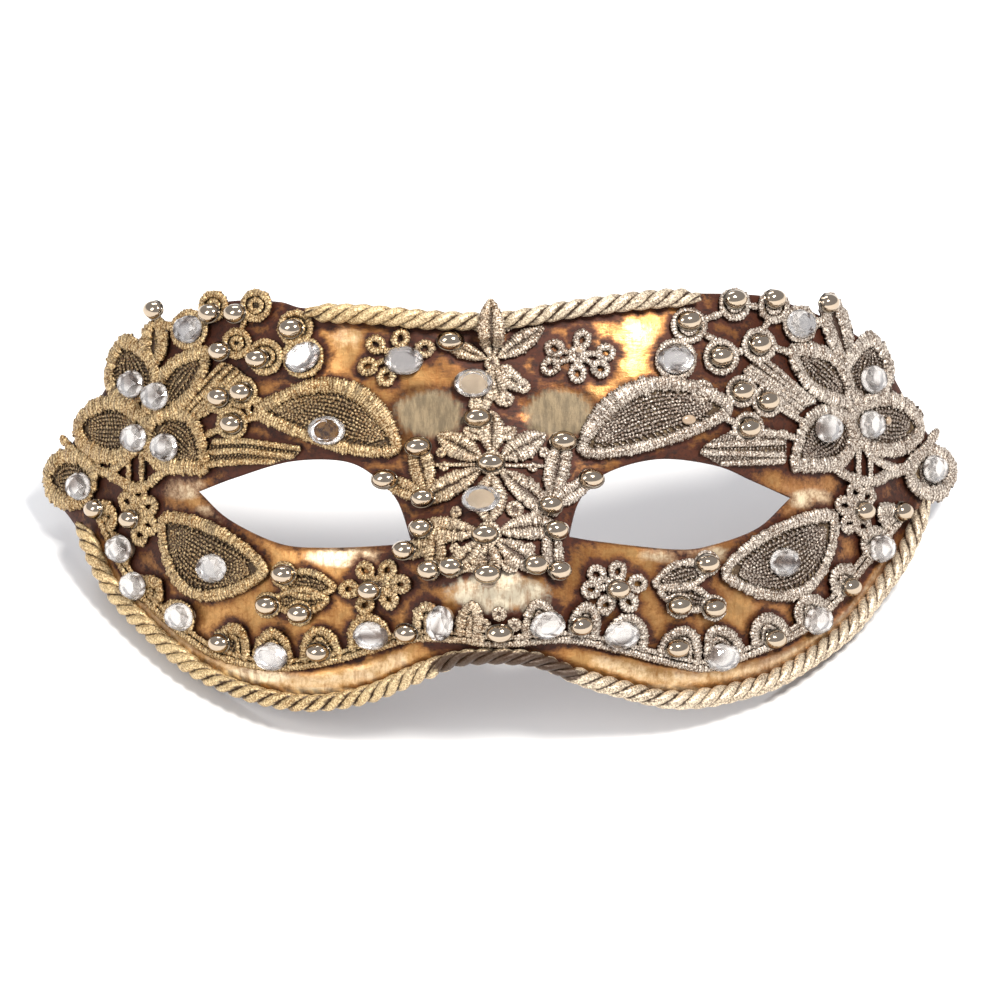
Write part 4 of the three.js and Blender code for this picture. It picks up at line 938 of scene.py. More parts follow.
def satin_leaf(gather, leaf, random, raise_by=None):
    """A small leaf of two ribbed halves with a groove between them."""
    steps = 40
    lift = LIFT["cord"] - 0.1
    share = np.linspace(0, 1, steps)
    wave = np.sin(np.pi * share) ** leaf.get("round", 0.8)
    width = 0.5 * leaf["width"] * wave * 0.94 + 0.4
    high = 0.25 + 0.17 * width.max()
    for side in (-1, 1):
        line = leaf_places(leaf, share, np.full(steps, side * 0.6))
        satin_cord(gather, line, width, random, lift=lift, high=high, sides=10, raise_by=raise_by)
    middle = leaf_places(leaf, np.linspace(0.06, 0.94, 20), np.zeros(20))
    raised = raise_by(middle) if raise_by is not None else 0.0
    points, out = on_face(middle, lift - 0.35 + raised)
    # The groove between the halves is fully darkened as painted shade.
    tube(gather, points, out, leaf["width"] * 0.2, 0.3, 6, 1.0)


def ring(gather, x, y, radius, random, width=1.5):
    """A coiled ring of cord, with a second coil inside where there is room."""
    satin_cord(gather, circle(x, y, radius - width / 2), width, random, closed=True)
    inner = radius - width * 1.55
    if inner > 0.9:
        satin_cord(gather, circle(x, y, inner), width * 0.8, random, lift=0.85, closed=True)
    shares = np.linspace(0.02, 0.85, 5)
    angles = np.linspace(0, 2 * np.pi, 17)
    places = np.array([
        (x + radius * share * math.cos(angle), y + radius * share * math.sin(angle))
        for share in shares
        for angle in angles
    ])
    ground_sheet(gather, places, len(shares), len(angles), LIFT["ground"], random)


def knot(gather, x, y, radius, random):
    """A small loop of cord filled with a knot."""
    width = min(radius * 0.9, 1.4)
    satin_cord(gather, circle(x, y, radius - width / 2), width, random, closed=True)
    point, normal = on_face(np.array([[x, y]]), 0.75)
    dome(gather, point[0], normal[0], radius * 0.55, 0.55, deep=0.5)


def square_to(normal):
    """The level direction and the rising one along the shell, where it faces along this normal."""
    across = np.cross([0.0, 1.0, 0.0], normal)
    across /= np.linalg.norm(across)
    return across, np.cross(normal, across)


def dome(gather, centre, normal, radius, height, deep=0.0, flat=1.0):
    """A small closed mound."""
    across, up = square_to(normal)
    rings, sides = 4, 12
    angle = 2 * np.pi * np.arange(sides) / sides
    outline = across * np.cos(angle)[:, None] + up * flat * np.sin(angle)[:, None]
    points = []
    for tilt in 0.5 * np.pi * np.arange(rings) / rings:
        points.append(centre + radius * math.cos(tilt) * outline + normal * height * math.sin(tilt))
    points = np.vstack([*points, centre + normal * height, centre - normal * 0.3])
    top = rings * sides
    ends = [fan(top, top - sides, sides), fan(top + 1, 0, sides, True)]
    gather.add(points, [grid_faces(rings, sides), *ends], deep)


# Stones and beads


def seat(x, y, lift, turn=0.0):
    """The middle and the three directions of something that stands square on the shell."""
    point, normal = on_face(np.array([[x, y]], float), lift)
    across, up = square_to(normal[0])
    angle = math.radians(turn)
    turned_across = across * math.cos(angle) + up * math.sin(angle)
    turned_up = up * math.cos(angle) - across * math.sin(angle)
    return point[0], turned_across, turned_up, normal[0]


def set_ring(place, width, height, count, share, z, turn=0.0):
    centre, across, up, normal = place
    angle = 2 * np.pi * (np.arange(count) + turn) / count
    wide = across * (0.5 * width * share) * np.cos(angle)[:, None]
    high = up * (0.5 * height * share) * np.sin(angle)[:, None]
    return centre + wide + high + normal * z


def trim_bed():
    """The shell and all that is sewn or glued on it, as the surface that stones and beads are set on."""
    points = []
    faces = []
    for piece in bpy.context.scene.objects:
        name = piece.name
        if name != "gilded_shell" and "_lace" not in name and not name.endswith(("_flower", "_cord")):
            continue
        piece.data.calc_loop_triangles()
        start = len(points)
        points += [vertex.co.copy() for vertex in piece.data.vertices]
        faces += [tuple(corner + start for corner in face.vertices) for face in piece.data.loop_triangles]
    return BVHTree.FromPolygons(points, faces)


def settled(bed, x, y, size, turn=0.0):
    """The lift at which the underside of a stone or bead, let down along the normal, meets the trim."""
    lift = LIFT["seat"]
    for _ in range(SETTLE["rounds"]):
        place = seat(x, y, lift, turn)
        normal = place[3]
        gaps = []
        for share in SETTLE["rings"]:
            for point in set_ring(place, *size, SETTLE["places"], share, 0.0):
                ends = np.array([point + normal * SETTLE["above"], point - normal * SETTLE["below"]])
                start, end = (Vector(spot) for spot in to_world(ends))
                hit = bed.ray_cast(start, (end - start).normalized(), (end - start).length)
                if hit[0] is not None:
                    gaps.append(hit[3] / MM - SETTLE["above"])
        if gaps:
            lift = min(max(lift - min(gaps) - SETTLE["sink"], SETTLE["lowest"]), SETTLE["highest"])
    return lift


def dab(gather, x, y, size, kind, lift, turn=0.0):
    """Glue from the shell or lace up to the underside of a stone or bead, square below it."""
    share, reach = DAB[kind]
    beyond_edge = y > edge_at(UPPER_EDGE, [x])[0]
    drop = lift - DAB["free_foot" if beyond_edge else "foot"]
    place = seat(x, y, lift, turn)
    sides = DAB["sides"]
    foot = set_ring(place, *size, sides, share * DAB["spread"], -drop)
    top = set_ring(place, *size, sides, share, reach)
    ends = [tuple(reversed(range(sides)))], [tuple(sides + i for i in range(sides))]
    gather.add(np.vstack([foot, top]), [grid_faces(2, sides), *ends], 1.0)


def stone_size(sizes):
    return sizes.stone_width / MM, sizes.stone_height / MM


def bead_size(sizes):
    return sizes.bead_width / MM, sizes.bead_height / MM


def bead_groups():
    return {
        "temple_left": TEMPLES["left"]["beads"],
        "temple_right": TEMPLES["right"]["beads"],
        "scroll_left": SCROLLS["left"]["beads"],
        "scroll_right": SCROLLS["right"]["beads"],
        "border": BORDER["beads"],
        "nose": NOSE_LACE["beads"],
        "forehead": FOREHEAD["beads"],
        "flowers": [flower["bead"] for flower in FLOWERS.values() if "bead" in flower],
    }


def add_bead(gather, x, y, lift):
    """A half-round bead: a thin flange with a dome on it."""
    sizes = bpy.context.scene.mask_sizes
    thick = sizes.bead_thick / MM
    place = seat(x, y, lift)
    sides = 28
    neck, foot = BEAD_FLANGE[-1]
    steps = np.linspace(0, 0.5 * np.pi, 9)[1:-1]
    curve = [(neck * math.cos(step), foot + (thick - foot) * math.sin(step)) for step in steps]
    profile = BEAD_FLANGE + curve
    rings = [set_ring(place, *bead_size(sizes), sides, share, z) for share, z in profile]
    centre, _, _, normal = place
    points = np.vstack([*rings, centre + normal * thick, centre])
    top = len(profile) * sides
    deep = BEAD_SHADE + [0.0] * (len(profile) - len(BEAD_SHADE))
    ends = [fan(top, top - sides, sides), fan(top + 1, 0, sides, True)]
    gather.add(points, [grid_faces(len(profile), sides), *ends], np.append(np.repeat(deep, sides), [0, 1]))


def add_stone(gather, x, y, lift, turn, middle_finish, random):
    """A clear stone: an eight-sided table, star and kite facets, a thin girdle, and foil behind it."""
    sizes = bpy.context.scene.mask_sizes
    thick = sizes.stone_thick / MM
    place = seat(x, y, lift, turn)
    # Each ring's number of points, share of the stone's size, height, and turn in steps of a point
    rings = [
        (16, 0.97, 0.0), (16, 1.0, 0.25), (16, 1.0, 0.5), (8, 0.87, 0.68 * thick), (8, 0.66, thick, 0.5),
        (16, 0.62, 0.25),
    ]
    points = np.vstack([set_ring(place, *stone_size(sizes), *each) for each in rings])
    low, waist, top, middle, table, foil = np.cumsum([0] + [each[0] for each in rings[:-1]]).tolist()
    walls = []
    back = []
    for i in range(16):
        k = (i + 1) % 16
        walls.append((low + i, low + k, waist + k, waist + i))
        walls.append((waist + i, waist + k, top + k, top + i))
        back.append((low + k, low + i, foil + i))
        back.append((low + k, foil + i, foil + k))
    kites = []
    stars = []
    for i in range(8):
        after = (i + 1) % 8
        before = (i - 1) % 8
        kites.append((table + i, middle + i, top + 2 * i + 1, middle + after))
        stars.append((middle + i, top + 2 * i, top + 2 * i + 1))
        stars.append((middle + i, top + (2 * i - 1) % 16, top + 2 * i))
        stars.append((table + before, middle + i, table + i))
    # Painted reflection: random tones that darken some facets of the foil.
    painted_rim_tones = random.choice([0.0, 1.0], 16)
    painted_facet_tones = random.choice([0.1, 0.5, 0.95], 16, p=[0.5, 0.3, 0.2])
    tones = np.concatenate([painted_rim_tones, np.zeros(foil - waist), painted_facet_tones])
    start = gather.add(points, [walls, kites, stars, [tuple(range(table, foil))]], tones, CLEAR)
    gather.add_faces([back], FOIL, start)
    gather.add_faces([[tuple(reversed(range(foil, foil + 16)))]], middle_finish, start)


# Finishes


class Value:
    """A number that varies over a surface. Python's operators on it add Math nodes."""

    def __init__(self, finish, socket):
        self.finish = finish
        self.socket = socket

    def math(self, operation, first, second):
        made = self.finish.node("ShaderNodeMath", {"operation": operation}, {0: first, 1: second})
        return Value(self.finish, made.outputs[0])

    def __add__(self, other):
        return self.math("ADD", self, other)

    def __radd__(self, other):
        return self.math("ADD", other, self)

    def __sub__(self, other):
        return self.math("SUBTRACT", self, other)

    def __rsub__(self, other):
        return self.math("SUBTRACT", other, self)

    def __mul__(self, other):
        return self.math("MULTIPLY", self, other)

    def __rmul__(self, other):
        return self.math("MULTIPLY", other, self)


class Finish:
    """A material while it is being put together."""

    def __init__(self, name):
        self.material = bpy.data.materials.new(name)
        self.material.use_nodes = True
        self.tree = self.material.node_tree
        self.tree.nodes.clear()
        self.place = self.node("ShaderNodeTexCoord").outputs["Object"]

    def node(self, kind, settings=None, inputs=None):
        made = self.tree.nodes.new(kind)
        for name, value in (settings or {}).items():
            setattr(made, name, value)
        for name, value in (inputs or {}).items():
            self.feed(made.inputs[name], value)
        return made

    def feed(self, socket, value):
        value = value.socket if isinstance(value, Value) else value
        if isinstance(value, bpy.types.NodeSocket):
            self.tree.links.new(value, socket)
        elif hasattr(value, "__len__") and socket.type == "RGBA":
            socket.default_value = (*value[:3], 1.0)
        else:
            socket.default_value = value

    def noise(self, size, detail=3.0, roughness=0.6, stretch=(1, 1, 1)):
        """Clouds of about this size, in millimetres, from 0 to 1."""
        scaled = self.node("ShaderNodeMapping", None, {"Vector": self.place, "Scale": stretch})
        inputs = {"Vector": scaled.outputs[0], "Scale": 1000 / size, "Detail": detail, "Roughness": roughness}
        return Value(self, self.node("ShaderNodeTexNoise", None, inputs).outputs["Fac"])

    def layer(self, name):
        return Value(self, self.node("ShaderNodeAttribute", {"attribute_name": name}).outputs["Fac"])

    def ramp(self, value, low, high, start=0.0, end=1.0):
        inputs = {"Value": value, "From Min": low, "From Max": high, "To Min": start, "To Max": end}
        made = self.node("ShaderNodeMapRange", {"interpolation_type": "SMOOTHSTEP"}, inputs)
        return Value(self, made.outputs["Result"])

    def across(self, low, high):
        """From 0 on the left to 1 on the right, between two places in millimetres."""
        x = self.node("ShaderNodeSeparateXYZ", None, {"Vector": self.place}).outputs["X"]
        return self.ramp(Value(self, x), low * MM, high * MM)

    def mix(self, first, second, share):
        return self.node("ShaderNodeMix", {"data_type": "RGBA"}, {0: share, 6: first, 7: second}).outputs[2]

    def bump(self, height, distance, strength=1.0):
        inputs = {"Height": height, "Distance": distance * MM, "Strength": strength}
        return self.node("ShaderNodeBump", None, inputs).outputs["Normal"]

    def done(self, **inputs):
        named = {name.replace("_", " "): value for name, value in inputs.items()}
        shader = self.node("ShaderNodeBsdfPrincipled", None, named)
        self.node("ShaderNodeOutputMaterial", None, {"Surface": shader.outputs[0]})
        return self.material


def gilt_finish(colours):
    """Leaf rubbed bright on the rises and painted with highlights, with a brown wash and painted shade in the
    recesses.
    """
    finish = Finish("gilded_leaf")
    cloud = finish.noise(9, 4)
    fine = finish.noise(2.2, 4, 0.7)
    grain = finish.noise(0.7, 3, 0.7, stretch=(0.3, 1.0, 1.0))
    # Painted shade with a brown wash: the gilding darkens round the trim, the eyes and the edge, in the
    # hollows and at the foot of the nose.
    wash_and_shade_amount = finish.layer("wash_and_shade") + (cloud - 0.5) * 0.9 + (fine - 0.5) * 0.7 + (grain - 0.5) * 0.6
    amber = finish.ramp(wash_and_shade_amount, -0.05, 0.5)
    dark_wash_and_shade = finish.ramp(wash_and_shade_amount, 0.24, 0.8)
    # Painted highlight, partly rubbed gold: the pale patches and the rolled band.
    pale = finish.ramp(finish.layer("pale") + (fine - 0.5) * 0.7 + (cloud - 0.5) * 0.5, 0.3, 0.75)
    ochre = darker(colours.gold, 0.62)
    colour = finish.mix(ochre, colours.gold, finish.ramp(fine + cloud * 0.6, 0.62, 0.95))
    colour = finish.mix(colour, colours.rose, finish.across(15, 80) * finish.ramp(cloud, 0.4, 0.7, 0.1, 0.75))
    colour = finish.mix(colour, colours.pale, pale)
    streak = finish.noise(1.1, 4, 0.75, stretch=(1.0, 0.22, 0.22))
    colour = finish.mix(colour, colours.amber, finish.ramp(streak, 0.46, 0.7) * 0.55)
    colour = finish.mix(colour, colours.amber, amber * 0.75)
    dark = darker(colours.patina_and_shade, 0.35)
    brown = finish.mix(colours.patina_and_shade, dark, finish.ramp(grain + fine, 0.9, 1.25))
    colour = finish.mix(colour, brown, dark_wash_and_shade)
    brushed = finish.ramp(streak, 0.35, 0.68)
    sage_layer = finish.layer("sage")
    border = finish.ramp(sage_layer, 0.04, 0.3) * finish.ramp(fine, 0.3, 0.6, 0.5, 0.9)
    colour = finish.mix(colour, brown, border)
    sage = finish.ramp(sage_layer + (fine - 0.5) * 0.6 + (streak - 0.5) * 0.5, 0.3, 0.72)
    sage_tone = finish.mix(darker(colours.sage, 0.5), colours.sage, brushed)
    colour = finish.mix(colour, sage_tone, sage * 0.92)
    silver = finish.ramp(finish.layer("silver") + (fine - 0.5) * 0.7 + (cloud - 0.5) * 0.8, 0.3, 0.8)
    rubbed = finish.ramp(streak + fine * 0.4, 0.5, 0.78, 0.35, 1.0)
    silver_tone = finish.mix(colours.amber, colours.silver, rubbed)
    colour = finish.mix(colour, silver_tone, silver * 0.9)
    rough = 0.3 + dark_wash_and_shade * 0.25 + fine * 0.14 + sage * 0.25
    bump = finish.bump(grain * 0.5 + fine, 0.18, 0.5)
    metal = 0.78 - dark_wash_and_shade * 0.4 - sage * 0.55
    return finish.done(Base_Color=colour, Metallic=metal, Roughness=rough, Normal=bump)


def inside_finish(colours):
    """Plain paint over paper strips."""
    finish = Finish("painted_inside")
    cloud = finish.noise(14, 4)
    fibre = finish.noise(1.2, 4, 0.7, stretch=(1, 0.3, 1))
    dark = darker(colours.inside, 0.6)
    colour = finish.mix(dark, colours.inside, finish.ramp(cloud + fibre * 0.4, 0.5, 0.85))
    bump = finish.bump(fibre + cloud, 0.25, 0.6)
    return finish.done(Base_Color=colour, Roughness=0.7 + fibre * 0.2, Normal=bump)


def thread_finish(colours, name, left, right, metal=0.6, bright=0.0):
    """Metallic thread with painted glints, and a brown wash and painted shade between its stitches, golden on
    the left and silvery on the right.
    """
    finish = Finish(name)
    cloud = finish.noise(8, 3)
    fine = finish.noise(0.45, 2, 0.7)
    colour = finish.mix(left, right, finish.across(-35, 20))
    brown = finish.mix(colours.thread_brown_left, colours.thread_brown_right, finish.across(-35, 20))
    glint = finish.ramp(finish.noise(0.4, 2, 0.8), 0.42, 0.6)
    colour = finish.mix(brown, colour, glint * 0.86 + finish.ramp(cloud, 0.3, 0.7, -0.16, 0.2) + bright)
    # Painted shade with a brown wash in the recesses of the lace.
    deep = finish.ramp(finish.layer("deep") + (fine - 0.5) * 0.8 + (cloud - 0.5) * 0.5, 0.04, 0.56)
    colour = finish.mix(colour, colours.lace_wash_and_shade, deep * 0.95)
    bump = finish.bump(fine, 0.16, 0.9)
    metallic = metal - deep * 0.2
    rough = 0.32 + fine * 0.2
    return finish.done(Base_Color=colour, Metallic=metallic, Roughness=rough, Normal=bump)


def ground_finish(colours):
    """The woven ground of a net, dark with a brown wash and painted shade in its holes."""
    finish = Finish("net_ground")
    fine = finish.noise(0.8, 3, 0.7)
    colour = finish.mix(colours.lace_wash_and_shade, colours.lace_left, finish.ramp(fine, 0.5, 0.75, 0.05, 0.5))
    return finish.done(Base_Color=colour, Roughness=0.8, Normal=finish.bump(fine, 0.4))


def bead_finish(colours):
    """Polished metal, with painted shade where a bead's dome meets its flange."""
    finish = Finish("polished_bead")
    cloud = finish.noise(3, 2)
    colour = finish.mix(darker(colours.bead, 0.8), colours.bead, cloud)
    # Painted shade on the flange and round the foot of the dome.
    rim = finish.ramp(finish.layer("deep"), 0.2, 1.0)
    colour = finish.mix(colour, darker(colours.bead, 0.12), rim * 0.85)
    return finish.done(Base_Color=colour, Metallic=1.0, Roughness=0.1 + cloud * 0.05)


def stone_finishes(colours):
    """Clear stone, the foil behind it, and the beige or brown ground that shows where the foil has gone."""
    clear = Finish("clear_stone")
    clear = clear.done(Base_Color=(1, 1, 1), Roughness=0.02, IOR=1.5, Transmission_Weight=1.0)
    foil = Finish("stone_foil")
    # Painted reflection: the foil darker on some facets.
    tone = foil.mix(colours.foil, colours.foil_facet_shade, foil.ramp(foil.layer("deep"), 0.25, 0.95))
    beige = Finish("bare_stone_back")
    beige_tone = beige.mix(colours.bare_back, darker(colours.bare_back, 0.8), beige.noise(3, 2))
    worn = Finish("worn_stone_back")
    rubbed = worn.ramp(worn.noise(1.2, 3), 0.35, 0.65)
    worn_tone = worn.mix(colours.lace_wash_and_shade, colours.thread_brown_left, rubbed)
    return [
        clear,
        foil.done(Base_Color=tone, Metallic=0.75, Roughness=0.22),
        beige.done(Base_Color=beige_tone, Roughness=0.5),
        worn.done(Base_Color=worn_tone, Metallic=0.3, Roughness=0.4),
    ]


def glue_finish(colours):
    """Dried glue, clouded and a little shiny."""
    finish = Finish("dried_glue")
    cloud = finish.noise(1.5, 3)
    colour = finish.mix(darker(colours.glue, 0.5), colours.glue, cloud)
    return finish.done(Base_Color=colour, Roughness=0.25 + cloud * 0.2, Coat_Weight=0.5)


# The shell


def shell_loops():
    """The shell's outline, counter-clockwise, and its eye holes, clockwise, sampled evenly."""
    x = np.linspace(LOWER_EDGE[0][0], LOWER_EDGE[-1][0], 500)
    lower = np.column_stack([x, edge_at(LOWER_EDGE, x)])
    upper = np.column_stack([x, edge_at(UPPER_EDGE, x)])[::-1]
    outline = evenly(np.vstack([lower, upper]), step=0.8, closed=True)
    loops = [outline]
    for brow, cheek in EYES.values():
        line = np.vstack([smooth_line(brow, 20)[:-1], smooth_line(cheek, 20)[:-1]])
        hole = evenly(line, step=0.6, closed=True)
        loops.append(hole if signed_area(hole) < 0 else hole[::-1])
    return loops


def signed_area(loop):
    ahead = np.roll(loop, -1, 0)
    return 0.5 * np.sum(loop[:, 0] * ahead[:, 1] - loop[:, 1] * ahead[:, 0])


def into_wall(loop, distance):
    """A loop moved into the material, which lies to its left."""
    return loop + to_left(unit(np.roll(loop, -1, 0) - np.roll(loop, 1, 0))) * distance


def is_inside(loop, places):
    """Which places lie inside a loop: a ray from there crosses it an odd number of times."""
    inside = np.zeros(len(places), bool)
    x, y = places[:, 0], places[:, 1]
    for (x0, y0), (x1, y1) in zip(loop, np.roll(loop, -1, 0)):
        if y0 == y1:
            continue
        inside ^= ((y0 > y) != (y1 > y)) & (x < (x1 - x0) * (y - y0) / (y1 - y0) + x0)
    return inside


def nearest(samples, places):
    """Distance from each place to the nearest sample."""
    tree = kdtree.KDTree(len(samples))
    for index, (x, y) in enumerate(samples):
        tree.insert((x, y, 0), index)
    tree.balance()
    return np.array([tree.find((x, y, 0))[2] for x, y in places])


def rim_swell(places):
    """The rolled band inside the lower cord."""
    x, y = places[:, 0], places[:, 1]
    slope = (edge_at(LOWER_EDGE, x + 1) - edge_at(LOWER_EDGE, x - 1)) / 2
    narrowing = 1 - (1 - RIM["side_share"]) * smooth_step(*RIM_REACH["side"], np.abs(x))
    distance = (y - edge_at(LOWER_EDGE, x)) / np.hypot(1, slope) / narrowing
    broader = RIM["broader"] * bell(np.abs(x) - RIM["broad_x"], 14)
    start = smooth_step(*RIM_REACH["nose"], np.abs(x))
    end = 1 - smooth_step(*RIM_REACH["temple"], np.abs(x))
    roll = np.clip(1 - ((distance - RIM["inset"] - broader) / (RIM["half"] + broader)) ** 2, 0, 1)
    return start * end * np.sqrt(roll)


def ripple(places):
    """The slow unevenness of hand-laid paper, in millimetres."""
    x, y = places[:, 0], places[:, 1]
    waves = np.sin(0.31 * x + 0.17 * y) + np.sin(0.23 * y - 0.12 * x + 1.3) + np.sin(0.53 * x + 0.6 * y + 2.1)
    return 0.07 * waves


def patches(places, listed):
    """How strongly each place is covered by the patches of a list."""
    made = np.zeros(len(places))
    for x, y, across, up, strength in listed:
        reach = ((places[:, 0] - x) / across) ** 2 + ((places[:, 1] - y) / up) ** 2
        made = np.maximum(made, strength * np.exp(-0.5 * reach**1.5))
    return made


def all_leaves():
    leaves = list(CHEEK_LEAVES.values()) + FOREHEAD["leaves"] + NOSE_LACE["leaves"]
    for temple in TEMPLES.values():
        leaves += [*temple["petals"], temple["sprig"], temple["brow"]]
    for scroll in SCROLLS.values():
        leaves += scroll["leaves"]
    return leaves


def trim_places():
    """Places along everything that is sewn or glued on, where the brown wash and painted shade gather."""
    samples = [leaf_rim(leaf, 0, 16) for leaf in all_leaves()]
    for temple in TEMPLES.values():
        samples += [circle(x, y, radius, 16) for x, y, radius in temple["rings"]]
        lines = temple["bands"] + temple["cords"] + temple["threads"] + sum(temple["webs"], [])
        samples += [smooth_line(line, 6) for line in lines]
    for flower in FLOWERS.values():
        samples += [circle(x, y, 2, 10) for x, y in flower["petals"]]
    for x, y, radius in FOREHEAD["loops"] + NOSE_LACE["loops"] + BORDER["loops"]:
        samples.append(circle(x, y, radius, 8))
    line = smooth_line(BORDER["line"], 12)
    samples += [line, beside(line, 2.4)]
    for arch in BORDER["arches"]:
        samples.append(arch_line(line, arch, 0.0, 12))
    for name, edge, beyond in (("upper", UPPER_EDGE, -3), ("lower", LOWER_EDGE, 1.6)):
        x = np.linspace(*CORD_ENDS[name], 200)
        samples.append(np.column_stack([x, edge_at(edge, x) + beyond]))
    return np.vstack(samples)


def honeycomb(low, high, step):
    """Places in staggered rows that fill a box."""
    rows = []
    for row, y in enumerate(np.arange(low[1], high[1], step * 0.87)):
        x = np.arange(low[0] + (row % 2) * step / 2, high[0], step)
        rows.append(np.column_stack([x, np.full(len(x), y)]))
    return np.vstack(rows)


def in_sheet(loops, places):
    """Which places lie inside the outline and in no eye hole."""
    outline, *eyes = loops
    inside = is_inside(outline, places)
    for eye in eyes:
        inside &= ~is_inside(eye, places)
    return inside


def shell_sheet(loops):
    """Places all over the shell, those along its loops first, and the faces between them."""
    inner = [into_wall(loop, SHEET["inset"]) for loop in loops]
    spots = honeycomb(loops[0].min(0), loops[0].max(0), SHEET["step"])
    spots = spots[in_sheet(inner, spots)]
    spots = spots[nearest(np.vstack(inner), spots) > SHEET["clear"]]
    flat = np.vstack([*inner, spots])
    edges = []
    start = 0
    for loop in inner:
        edges += [(start + i, start + (i + 1) % len(loop)) for i in range(len(loop))]
        start += len(loop)
    made = delaunay_2d_cdt([tuple(place) for place in flat], edges, [], 0, 1e-5, False)
    if len(made[0]) != len(flat):
        raise RuntimeError("the shell's outline crosses itself")
    faces = np.array([tuple(face) for face in made[2]])
    return flat, faces[in_sheet(inner, flat[faces].mean(axis=1))]


def shell_walls(loops, count, wall):
    """The rounded walls along the loops, which join the front sheet of `count` points to the back one."""
    profile = [(0.16, -0.16), (0.0, -0.6), (0.0, -0.5 * wall), (0.0, -wall + 0.6), (0.16, -wall + 0.16)]
    points = []
    faces = []
    total = 2 * count
    offset = 0
    for loop in loops:
        here = np.arange(len(loop))
        ahead = np.roll(here, -1)
        before = offset + here
        for inset, depth in profile:
            places = into_wall(loop, inset)
            points.append(on_face(places, depth + ripple(places))[0])
            now = total + here
            faces.append(np.stack([before, now, now[ahead], before[ahead]], axis=-1))
            before = now
            total += len(loop)
        now = count + offset + here
        faces.append(np.stack([before, now, now[ahead], before[ahead]], axis=-1))
        offset += len(loop)
    return np.vstack(points), faces


def wash_and_shade_near(distance, kind):
    """Brown wash and painted shade that fade with the distance from what they gather round."""
    strength, reach = WASH_AND_SHADE[kind]
    return strength * np.exp(-((distance / reach) ** 2))


def shell_layers(loops, places):
    """How much brown wash and painted shade, rubbed gold and painted highlight, dull green and silver there
    is at each place.
    """
    x, y = places[:, 0], places[:, 1]
    trim = nearest(trim_places(), places)
    eyes = nearest(np.vstack(loops[1:]), places)
    edge = nearest(loops[0], places)
    band = rim_swell(places)
    uneven = 1 + 2.4 * ripple(1.9 * places)
    wash_and_shade = uneven * (wash_and_shade_near(trim, "close") + wash_and_shade_near(trim, "wide"))
    wash_and_shade = wash_and_shade + wash_and_shade_near(eyes, "eyes") + wash_and_shade_near(edge, "edge")
    # Painted shade in the hollows beside the nose and above the eyes.
    for hollow in SHADED_HOLLOWS:
        across, up = hollow["reach"]
        depth = bell(np.abs(x - hollow["middle"]) - hollow["x"], across) * bell(y - hollow["y"], up)
        wash_and_shade = wash_and_shade + HOLLOW_SHADE_STRENGTH * depth
    for middle_x, middle_y, across, up, strength in CLOSE_WORK:
        wash_and_shade = wash_and_shade + strength * bell(x - middle_x, across) * bell(y - middle_y, up)
    wash_and_shade = wash_and_shade * (1 - 0.8 * band)
    # Painted shade at the foot of the nose.
    across, up = NOSE_FOOT_SHADE["reach"]
    foot = NOSE_FOOT_SHADE["strength"] * bell(x - NOSE_FOOT_SHADE["x"], across) * bell(y - NOSE_FOOT_SHADE["y"], up)
    return {
        "wash_and_shade": np.maximum(wash_and_shade, foot),
        # The rolled band takes a painted highlight along its rise.
        "pale": np.maximum(patches(places, PALE_AND_HIGHLIGHT_PATCHES), 0.5 * band),
        "sage": patches(places, SAGE_PATCHES),
        "silver": patches(places, SILVER_PATCHES),
    }


def build_shell(sizes, colours):
    """A front sheet and a back one with walls between them, and what lies on them as layers."""
    wall = sizes.wall / MM
    loops = shell_loops()
    flat, faces = shell_sheet(loops)
    front, _ = on_face(flat, RIM["height"] * rim_swell(flat) + ripple(flat))
    back, _ = on_face(flat, ripple(flat) * 0.5 - wall)
    walls, wall_faces = shell_walls(loops, len(flat), wall)
    points = np.vstack([front, back, walls])
    gather = Gather()
    start = gather.add(points, [faces])
    gather.add_faces([faces[:, ::-1] + len(flat)], 1, start)
    gather.add_faces(wall_faces, 0, start)
    layers = shell_layers(loops, points[:, :2])
    finishes = [gilt_finish(colours), inside_finish(colours)]
    gather.make("gilded_shell", finishes, ["mask_shell"], layers=layers)


# The cords


def cord_line(edge, ends, inset, lift):
    """The middle line of a cord beside an edge, and the shell's normals along it."""
    x = np.linspace(*ends, 1200)
    slope = edge_at(edge, x + 0.5) - edge_at(edge, x - 0.5)
    length = np.hypot(1, slope)
    places = np.column_stack([x - slope / length * inset, edge_at(edge, x) + inset / length])
    points, out = on_face(places, lift)
    both = evenly(np.hstack([points, out]), step=0.3)
    return both[:, :3], unit(both[:, 3:])


def flatness(x, crushed):
    """How high a cord still stands at each x, as a share, where it is crushed between two places."""
    pressed = PRESSED * smooth_step(crushed[0] - 4, crushed[0], x)
    return 1 - pressed * (1 - smooth_step(crushed[1], crushed[1] + 4, x))


